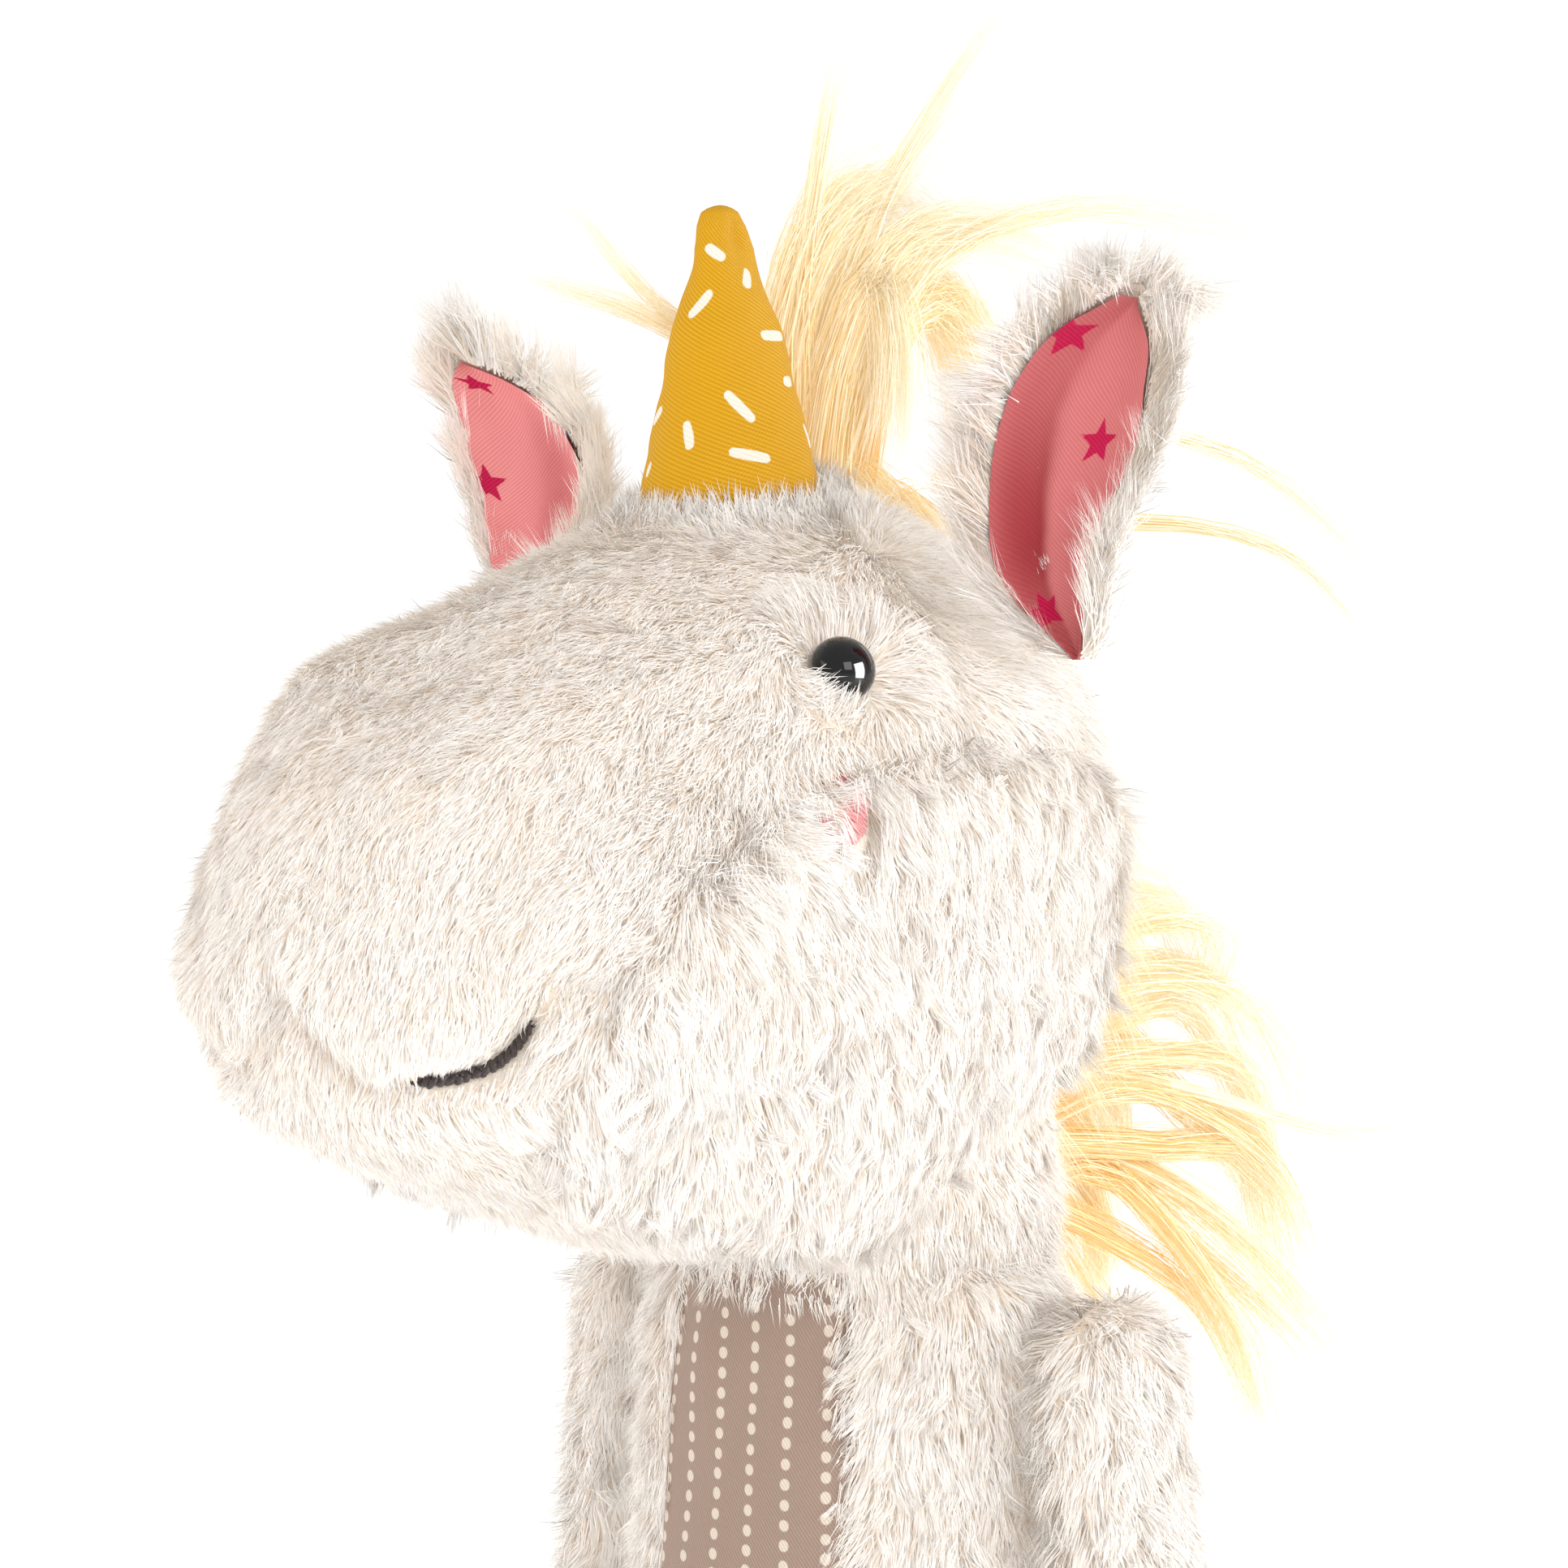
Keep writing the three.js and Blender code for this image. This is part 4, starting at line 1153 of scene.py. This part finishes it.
def ear_surface(side, a, b, depth=0.0, wider=0.0):
    """Points of an ear: a from its inner edge to its outer one, b from the root to the tip."""
    outer, inner, front = EAR_EDGES[side]
    outer, inner = through_points(outer, b), through_points(inner, b)
    span = outer - inner
    flat = inner + span * a[:, None] + unit(span) * (wider * (2 * a - 1))[:, None]
    flat[:, 1] += wider * smooth(b, 0.8, 1.0)
    cup = 6.0 * np.sqrt(np.clip(np.sin(np.pi * np.clip(b * 0.8 + 0.12, 0, 1)), 0, 1)) * np.sin(np.pi * a)
    turned = (6.5 if side == "left" else 3.0) * a * smooth(b, 0, 0.4)
    flat[:, 0] -= 0.84 * turned
    at = crease_at(b)
    fold = 3.2 * smooth(a, at + 0.22, at - 0.06) * smooth(a, 0.02, at - 0.08) * hump(b - 0.42, 0.34)
    fold *= 1 if side == "left" else 0.35
    ridge = 1.8 * hump(a - at - 0.26, 0.18) * hump(b - 0.5, 0.36)
    y = front + 8 * smooth(b, 0.25, 0.0) + cup + turned + fold - ridge + depth - 2.0 * b
    p = np.stack([flat[:, 0], y, flat[:, 1]], axis=1)
    return p if side == "left" else mirrored(p)


def ear_fold_shade(a, b):
    """How much painted shade the lining's colour takes: 1 in the long fold beside its inner edge."""
    at = crease_at(b)
    near = smooth(a, at + 0.17, at + 0.03)
    return near * (0.30 + 0.65 * smooth(a, at - 0.30, at - 0.05) * hump(b - 0.36, 0.26))


def ear_wide(b):
    return np.interp(b, np.linspace(0, 1, 7), EAR_WIDE)


def ear_grid(na, nb):
    a, b = np.meshgrid(np.linspace(0, 1, na + 1), np.linspace(0, 1, nb + 1))
    return a.ravel(), b.ravel()


def make_ear(side, lining_mat):
    """An ear's lining, the backing cloth behind it, and the pile of its back and rim."""
    sign = 1 if side == "left" else -1
    body = f"ear_{side}"
    na, nb = 90, 150
    a, b = ear_grid(na, nb)
    co = ear_surface(side, a, b)
    co = co + vec(0, 1, 0) * (0.7 * noise(co, 9.0, 5 + sign) + 0.3 * noise(co, 4.0, 6))[:, None]
    o = piece(f"ear_cloth_{side}", co, grid_faces(na, nb), [lining_mat])
    uv = np.stack([(a - 0.5) * ear_wide(b), b * 66], axis=1)
    set_uv(o, uv)
    set_value(o, "print", prints(uv, EAR_STARS[side]))
    # painted shade in the lining's colour: the whole left lining darker, most in its long fold; the right
    # one only in its hollow
    if side == "left":
        shade = 0.42 + 0.58 * ear_fold_shade(a, b)
    else:
        shade = 0.55 * hump(a - 0.36, 0.26) * hump(b - 0.45, 0.32)
    set_value(o, "fold", shade)
    place(o, body, "pink_cotton", f"ear_lining_{side}")
    area = cut_area(o)
    length = max(0.070, area / 0.040 * 1.02)

    a, b = ear_grid(44, 76)
    co = ear_surface(side, a, b, depth=1.6, wider=2.2)
    back = piece(f"ear_skin_{side}", co, grid_faces(44, 76), [BACKING])
    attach(back, body)
    area = cut_area(back)

    rng = np.random.default_rng(61 + sign)
    count = 15000
    a, b = rng.random(count), rng.random(count)
    keep = rng.random(count) < ear_wide(b) / 34
    edge = rng.random(count) < 0.34
    inner = rng.random(count) < 0.5
    a = np.where(edge, np.where(inner, 0.035 * rng.random(count), 1 - 0.035 * rng.random(count)), a)
    b = np.where(edge & (rng.random(count) < 0.16), 1 - 0.05 * rng.random(count), b)
    keep |= edge
    a, b, edge = a[keep], b[keep], edge[keep]
    level = np.where(edge, rng.random(len(a)), 1.0)
    p = ear_surface(side, a, b, depth=0.2 + 1.8 * level, wider=0.5 + 2.1 * level)
    ends = ([a + 0.01, b], [a - 0.01, b], [a, b + 0.01], [a, b - 0.01])
    a1, a0, b1, b0 = (ear_surface(side, *np.clip(end, 0, 1), 2.0, 2.6) for end in ends)
    da, db = a1 - a0, b1 - b0
    n = unit(np.cross(da, db))
    n = np.where((n[:, 1] > 0)[:, None], n, -n)
    outward = unit(da) * np.sign(a - 0.5)[:, None]
    rim = np.abs(2 * a - 1) ** 3
    tip = smooth(b, 0.75, 1.0)
    n = n * (1 - 0.6 * rim[:, None]) + outward * (0.75 * rim)[:, None]
    n = unit(n + vec(0, 0, 1) * (0.5 * tip)[:, None])
    comb = unit(db) * (0.75 - 0.15 * rim)[:, None] + outward * (0.25 + 0.75 * rim)[:, None]
    comb[:, 1] += rim * np.where(a > 0.5, 0.5, 0.25) + 0.35 * tip
    length = 9.5 + 6.0 * rim + 3.0 * tip - 2.0 * smooth(b, 0.12, 0.0)
    length = length + 4.0 * rim * (a < 0.5) * hump(b - 0.3, 0.3)
    made = pile(p, n, rng, comb, length, 0.62, tuft=0.75, tuft_size=2.6)
    finish_fur(fur_pieces([f"ear_fur_{side}"], np.zeros(len(p)), *made)[0], body, f"ear_back_{side}")


# ---------------------------------------------------------------- hair
FORELOCK = [  # path, then the number of fibres, radii at root and tip, wave, paleness and unevenness
    ([(-4, -16, 296), (-6, -13, 325), (-2, -6, 348), (6, 4, 355), (14, 14, 342)], 700, 8, 8, 2.5, 0.8),
    ([(2, -13, 296), (3, -8, 322), (9, 2, 344), (20, 16, 348), (32, 30, 343)], 420, 7, 6, 2.5, 0.8),
    ([(-5, -14, 296), (-8, -9, 322), (-12, 3, 342), (-20, 14, 346), (-28, 24, 334)], 500, 8, 8, 2.5, 0.8),
    ([(0, -10, 296), (2, -6, 326), (8, -2, 338), (12, -2, 322), (12, -5, 303)], 800, 6, 6, 1.6, 0.6),
    ([(-4, -6, 296), (-7, 0, 324), (-14, 8, 334), (-20, 8, 318), (-22, 6, 301)], 600, 7, 6, 1.6, 0.45),
    ([(0, -4, 296), (1, 6, 326), (3, 22, 336), (4, 34, 322), (4, 42, 300)], 900, 8, 9, 2.0, 0.45),
    ([(0, -12, 300), (3, -4, 340), (12, 8, 368), (28, 20, 397)], 110, 4, 1.6, 1.2, 0.9, 0.2),
    ([(2, -10, 300), (5, -2, 342), (12, 8, 364), (22, 14, 380)], 70, 4, 2.0, 1.5, 1.0),
    ([(-1, -13, 300), (-2, -12, 335), (1, -11, 360), (5, -8, 381)], 110, 4, 1.5, 1.0, 0.7, 0.2),
    ([(-1, -14, 300), (-7, -22, 318), (-18, -40, 331), (-33, -62, 339)], 90, 4, 1.5, 1.5, 0.7, 0.2),
    ([(-1, -14, 300), (-8, -24, 322), (-19, -40, 336), (-30, -52, 356)], 70, 4, 1.5, 1.5, 0.8, 0.2),
    ([(4, -8, 300), (14, 6, 340), (34, 28, 352), (54, 48, 348), (66, 60, 350)], 70, 4, 3.5, 2.5, 1.1),
]
LOOSE = [  # a few long hairs blown back behind the ears
    [(8, 18, 300), (34, 34, 310), (54, 60, 303), (67, 90, 279)],
    [(8, 34, 290), (40, 52, 291), (60, 66, 284), (69, 82, 266)],
]
LOOSE_NECK = [  # and from the nape
    [(6, 50, 180), (20, 88, 170), (38, 115, 160), (50, 128, 163)],
    [(2, 50, 192), (4, 74, 212), (9, 98, 210), (14, 116, 190)],
]


def lock(rng, path, count, root, spread, wave, pale, uneven=0.35):
    """Long fibres that follow a path of [x, y, z]: root and spread are the lock's radii at its ends."""
    segments = 8
    t = np.linspace(0, 1, segments + 1)[None, :]
    long = 1 - uneven * rng.random((count, 1)) ** 1.6
    centre = through_points(path, t * long)
    ball = unit(rng.standard_normal((count, 3))) * rng.random((count, 1)) ** 0.5
    grow = root * (1 - t) ** 1.5 + spread * t**1.3
    strand = centre + ball[:, None, :] * grow[..., None]
    group = rng.integers(0, max(count // 14, 1), count)
    push = rng.standard_normal((group.max() + 1, 3))[group]
    strand += push[:, None, :] * (0.30 * spread * t**2)[..., None]
    phase = rng.random((group.max() + 1, 3))[group] * 6.28
    swing = np.sin(5.0 * t[..., None] * long[..., None] + phase[:, None, :]) * wave * (t**1.2)[..., None]
    strand += swing + 0.15 * rng.standard_normal((count, 1, 3)) * t[..., None]
    widths = HAIR_WIDE * (0.8 + 0.4 * rng.random((count, 1))) * (1 - 0.75 * t[:, :segments] ** 1.5)
    side = unit(np.cross(strand[:, -1] - strand[:, 0], rng.standard_normal((count, 3))))
    tone = pale * 2.0 + 2.6 * t[:, :segments] * long + 0.7 * rng.standard_normal((count, 1))
    tone = tone + 0.3 * push[:, :1]
    return strand, widths, side, np.clip(np.round(tone), 0, 4)


def hair(name, body, node, locks):
    """One mesh of hair made of several locks."""
    made = [np.concatenate(parts) for parts in zip(*locks)]
    o = ribbons(name, *made, HAIR_FIBRES)
    place(o, body, "yellow_hair", node)
    return o


def swapped(path, share=-0.8):
    return [(x * share, y, z) for x, y, z in path]


def make_hair():
    """The forelock on the crown, the mane down the head and the neck, and the tail."""
    rng = np.random.default_rng(91)
    hair("forelock_hair", "head", "forelock", [lock(rng, *row) for row in FORELOCK])
    mane = []
    for k in range(9):
        turn = math.radians(78 - 15 * k)
        out = np.array([0, math.cos(turn), math.sin(turn)])
        root = vec(0, -21, 239) + out * vec(0, 64, 57)
        for sign in (-1, 1):
            lie = np.array([sign * 13.0, 6.0, -22.0]) * (0.6 + 0.5 * abs(math.cos(turn)))
            steps = ((0, 0), (9, 0.15), (13, 0.9), (7, 2.0))
            path = [root + out * lift + lie * drop for lift, drop in steps]
            mane.append(lock(rng, path, 300, 6, 7, 2.2, 0.25))
    for path in LOOSE:
        mane.append(lock(rng, path, 80, 3, 1.4, 1.2, 0.7, 0.2))
        mane.append(lock(rng, swapped(path), 35, 3, 1.8, 1.2, 1.0))
    hair("mane_hair", "head", "head_mane", mane)
    keys = np.array([
        [(3, 50, 196), (8, 70, 212), (14, 92, 208), (19, 112, 186)],
        [(5, 50, 188), (11, 76, 202), (18, 102, 194), (23, 118, 168)],
        [(5, 49, 178), (12, 80, 184), (20, 106, 172), (26, 122, 146)],
        [(5, 48, 168), (12, 80, 168), (21, 107, 150), (31, 129, 122)],
        [(5, 46, 158), (11, 76, 154), (19, 104, 136), (30, 128, 112)],
        [(4, 46, 152), (8, 72, 138), (12, 96, 116), (16, 112, 88)],
    ], float)
    neck = []
    for k in range(30):
        u = (k // 2 + 0.5 * rng.random()) / 15
        path = through_points(keys, np.array(min(u, 1.0))).reshape(4, 3)
        path = path + rng.normal(0, 1, (4, 3)) * [[1], [3], [5], [7]]
        path[:, 0] *= 1 if k % 2 else -0.75
        low = smooth(u, 0.1, 0.9)
        neck.append(lock(rng, path, int(90 + 110 * hump(u - 0.6, 0.35)), 5, 3.5, 3.0, 0.75 - 0.75 * low))
    for path in LOOSE_NECK:
        neck.append(lock(rng, path, 50, 3, 1.2, 1.4, 1.0))
        neck.append(lock(rng, swapped(path, -0.7), 40, 3, 1.2, 1.4, 1.0))
    o = hair("neck_hair", "neck", "neck_mane", neck)
    co = points_of(o.data)
    far = 0.45 * np.maximum(co[:, 1] - 110, 0)  # the ends fan out to the sides
    co[:, 1] -= far
    co[:, 0] += 0.8 * far * np.clip(co[:, 0] / 10, -1, 1)
    set_points(o.data, co)
    tail = []
    for k in range(10):
        turn = 2 * math.pi * k / 10
        x, z = 9 * math.cos(turn), 8 * math.sin(turn)
        path = [(0, 51, 33), (x * 0.6, 66, 33 + z * 0.5), (x, 86, 20 + z * 0.8),
                (x * 1.1, 106, 10 + z * 0.5), (x * 0.5 + 3, 120, 6 + z * 0.2)]
        tail.append(lock(rng, path, 330, 3.5, 4.5, 2.2, 0.15))
    o = hair("tail_hair", "tail", "tail", tail)
    co = points_of(o.data)
    co[:, 2] = np.maximum(co[:, 2], 0.8 + 0.1 * (co[:, 2] - 0.8))
    set_points(o.data, np.maximum(co, vec(-99, -99, 0.4)))


# ---------------------------------------------------------------- soles
def foot_axis(side):
    """Middle of a sole and the direction its leg points."""
    boxes = (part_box(f"{node}_{side}") for node in ("sole", "leg_stuffing"))
    middle, leg = (sum(np.array(c) for c in box) / 2 / MM for box in boxes)
    return middle, unit(middle - leg)


def make_sole(side, leg, mat):
    """The flat cotton disc that closes a leg."""
    tree = tree_of(leg)
    middle, way = foot_axis(side)
    e1 = unit(np.cross(way, vec(0, 0, 1)))
    e2 = np.cross(e1, way)
    na, nb = 96, 40
    co, uv = [], []
    for j in range(nb + 1):
        for i in range(na):
            turn = 2 * math.pi * i / na
            r = SOLE_R * max(j, 0.02) / nb
            x, z = r * math.cos(turn), r * math.sin(turn)
            start = middle + way * 40 + e1 * x + e2 * z
            hit = np.array(tree.ray_cast(Vector(start * MM), Vector(-way))[0]) / MM
            co.append(hit + way * (1.3 - 1.9 * (j / nb) ** 6))
            uv.append((x, z))
    co = np.array(co)
    co += way * (0.5 * noise(co, 9.0, 4))[:, None]
    o = piece(f"sole_cloth_{side}", co, grid_faces(na, nb, closed=True), [mat])
    set_uv(o, uv)
    figures = [("star", (-6, 6), 7.5, 8), ("star", (7, 3), 7.5, -14), ("star", (-2, -8), 7.5, 25)]
    set_value(o, "print", prints(np.array(uv), figures))
    place(o, f"leg_{side}", "pink_cotton", f"sole_{side}")


# ---------------------------------------------------------------- stage
def look(o, way):
    o.rotation_euler = way.to_track_quat("-Z", "Y").to_euler()


def make_stage():
    r, n = 6.0, 64
    ring = [(r * math.cos(2 * math.pi * i / n), r * math.sin(2 * math.pi * i / n), 0) for i in range(n)]
    me = bpy.data.meshes.new("floor")
    me.from_pydata(ring, [], [tuple(range(n))])
    me.materials.append(stage_white())
    show("floor", me)
    world = bpy.data.worlds.new("studio")
    bpy.context.scene.world = world
    world.use_nodes = True
    tree = world.node_tree
    back, seen = tree.nodes["Background"], tree.nodes.new("ShaderNodeBackground")
    for node, color, strength in ((back, (1.0, 0.985, 0.965, 1), 0.80), (seen, (1, 1, 1, 1), 1.05)):
        node.inputs["Color"].default_value = color
        node.inputs["Strength"].default_value = strength
    path = tree.nodes.new("ShaderNodeLightPath")
    mix = tree.nodes.new("ShaderNodeMixShader")
    tree.links.new(path.outputs["Is Camera Ray"], mix.inputs[0])
    tree.links.new(back.outputs[0], mix.inputs[1])
    tree.links.new(seen.outputs[0], mix.inputs[2])
    tree.links.new(mix.outputs[0], tree.nodes["World Output"].inputs["Surface"])
    for name, at, size, power, color in (
        ("key", (1.20, -0.55, 0.80), (0.6, 0.6), 5.0, (1.0, 0.995, 0.985)),
        ("fill", (-1.0, -1.3, 0.45), (1.2, 1.2), 8.0, (1.0, 0.995, 0.985)),
        ("rim", (0.3, 1.5, 0.8), (1.0, 1.0), 4.5, (1.0, 1.0, 1.0)),
        ("side", (1.70, 0.55, 0.45), (1.3, 1.3), 4.0, (1.0, 0.995, 0.985)),
        ("glint", (0.80, 0.18, 0.34), (0.50, 0.62), 30.0, (1.0, 1.0, 1.0)),
    ):
        light = bpy.data.lights.new(name, "AREA")
        light.shape, light.energy, light.color = "RECTANGLE", power, color
        light.size, light.size_y = size
        o = show(name, light)
        o.visible_camera = False
        o.visible_diffuse = name != "glint"  # a softbox that only shows in the gloss of the eyes
        o.location = at
        look(o, Vector((0, -0.03, 0.22)) - Vector(at))


def make_camera():
    turn, rise, far = math.radians(40), math.radians(5), 0.730
    target = Vector((-0.0119, -0.0060, 0.240))
    back = Vector((math.sin(turn) * math.cos(rise), -math.cos(turn) * math.cos(rise), math.sin(rise)))
    cam = bpy.data.cameras.new("camera")
    cam.lens, cam.sensor_width, cam.sensor_fit = 85, 36, "HORIZONTAL"
    cam.clip_start, cam.clip_end = 0.01, 50
    o = show("camera", cam)
    o.location = target + back * far
    look(o, -back)
    bpy.context.scene.camera = o


make_camera()
make_stage()
head = make_head()
head_tree = tree_of(head)
make_mouth(head_tree)
# the dark red given to pink_cotton is painted shade for the ear linings' folds
cotton, plain_cotton = (
    printed_twill(name, (0.72, 0.215, 0.22), (0.90, 0.36, 0.355), (0.82, 0.29, 0.29), (0.42, 0.008, 0.055),
                  (0.60, 0.012, 0.085), 1.6, math.radians(48), fold_shade_color)
    for name, fold_shade_color in (("pink_cotton", (0.36, 0.04, 0.05)), ("pink_cotton_sole", None))
)
eye_black = eye_plastic()
satin = mottled("pink_thread", (0.70, 0.20, 0.21), (0.86, 0.34, 0.33), 0.5, 1500.0, 0.2, 5000.0, 0.0002,
                Sheen_Weight=0.5, Specular_IOR_Level=0.5)
nylon = mottled("white_nylon", (0.74, 0.74, 0.71), (0.84, 0.84, 0.81), 0.45, 500.0, 0.5, 2500.0, 0.0001,
                Specular_IOR_Level=0.5)
bean_cotton = mottled("bean_cloth", (0.60, 0.56, 0.48), (0.72, 0.68, 0.60), 0.9, 700.0, 0.5, 1200.0, 0.0006,
                      detail=3.0, Sheen_Weight=0.2)
make_horn()
make_hair()
torso = make_torso()
make_belly(torso)
for k, side in enumerate(("left", "right")):
    make_eye(side, eye_black)
    make_blush(head_tree, side, satin)
    NODES[f"eye_washer_{side}"].material_slots[0].material = nylon
    make_ear(side, cotton)
    make_limb("arm", side, f"arm_{side}", 31 + k)
    make_sole(side, make_limb("leg", side, f"leg_{side}", 41 + k), plain_cotton)
NODES["bean_pouch"].material_slots[0].material = bean_cotton

view = bpy.context.scene.view_settings
view.view_transform, view.look, view.exposure, view.gamma = "Standard", "None", 0.0, 1.0
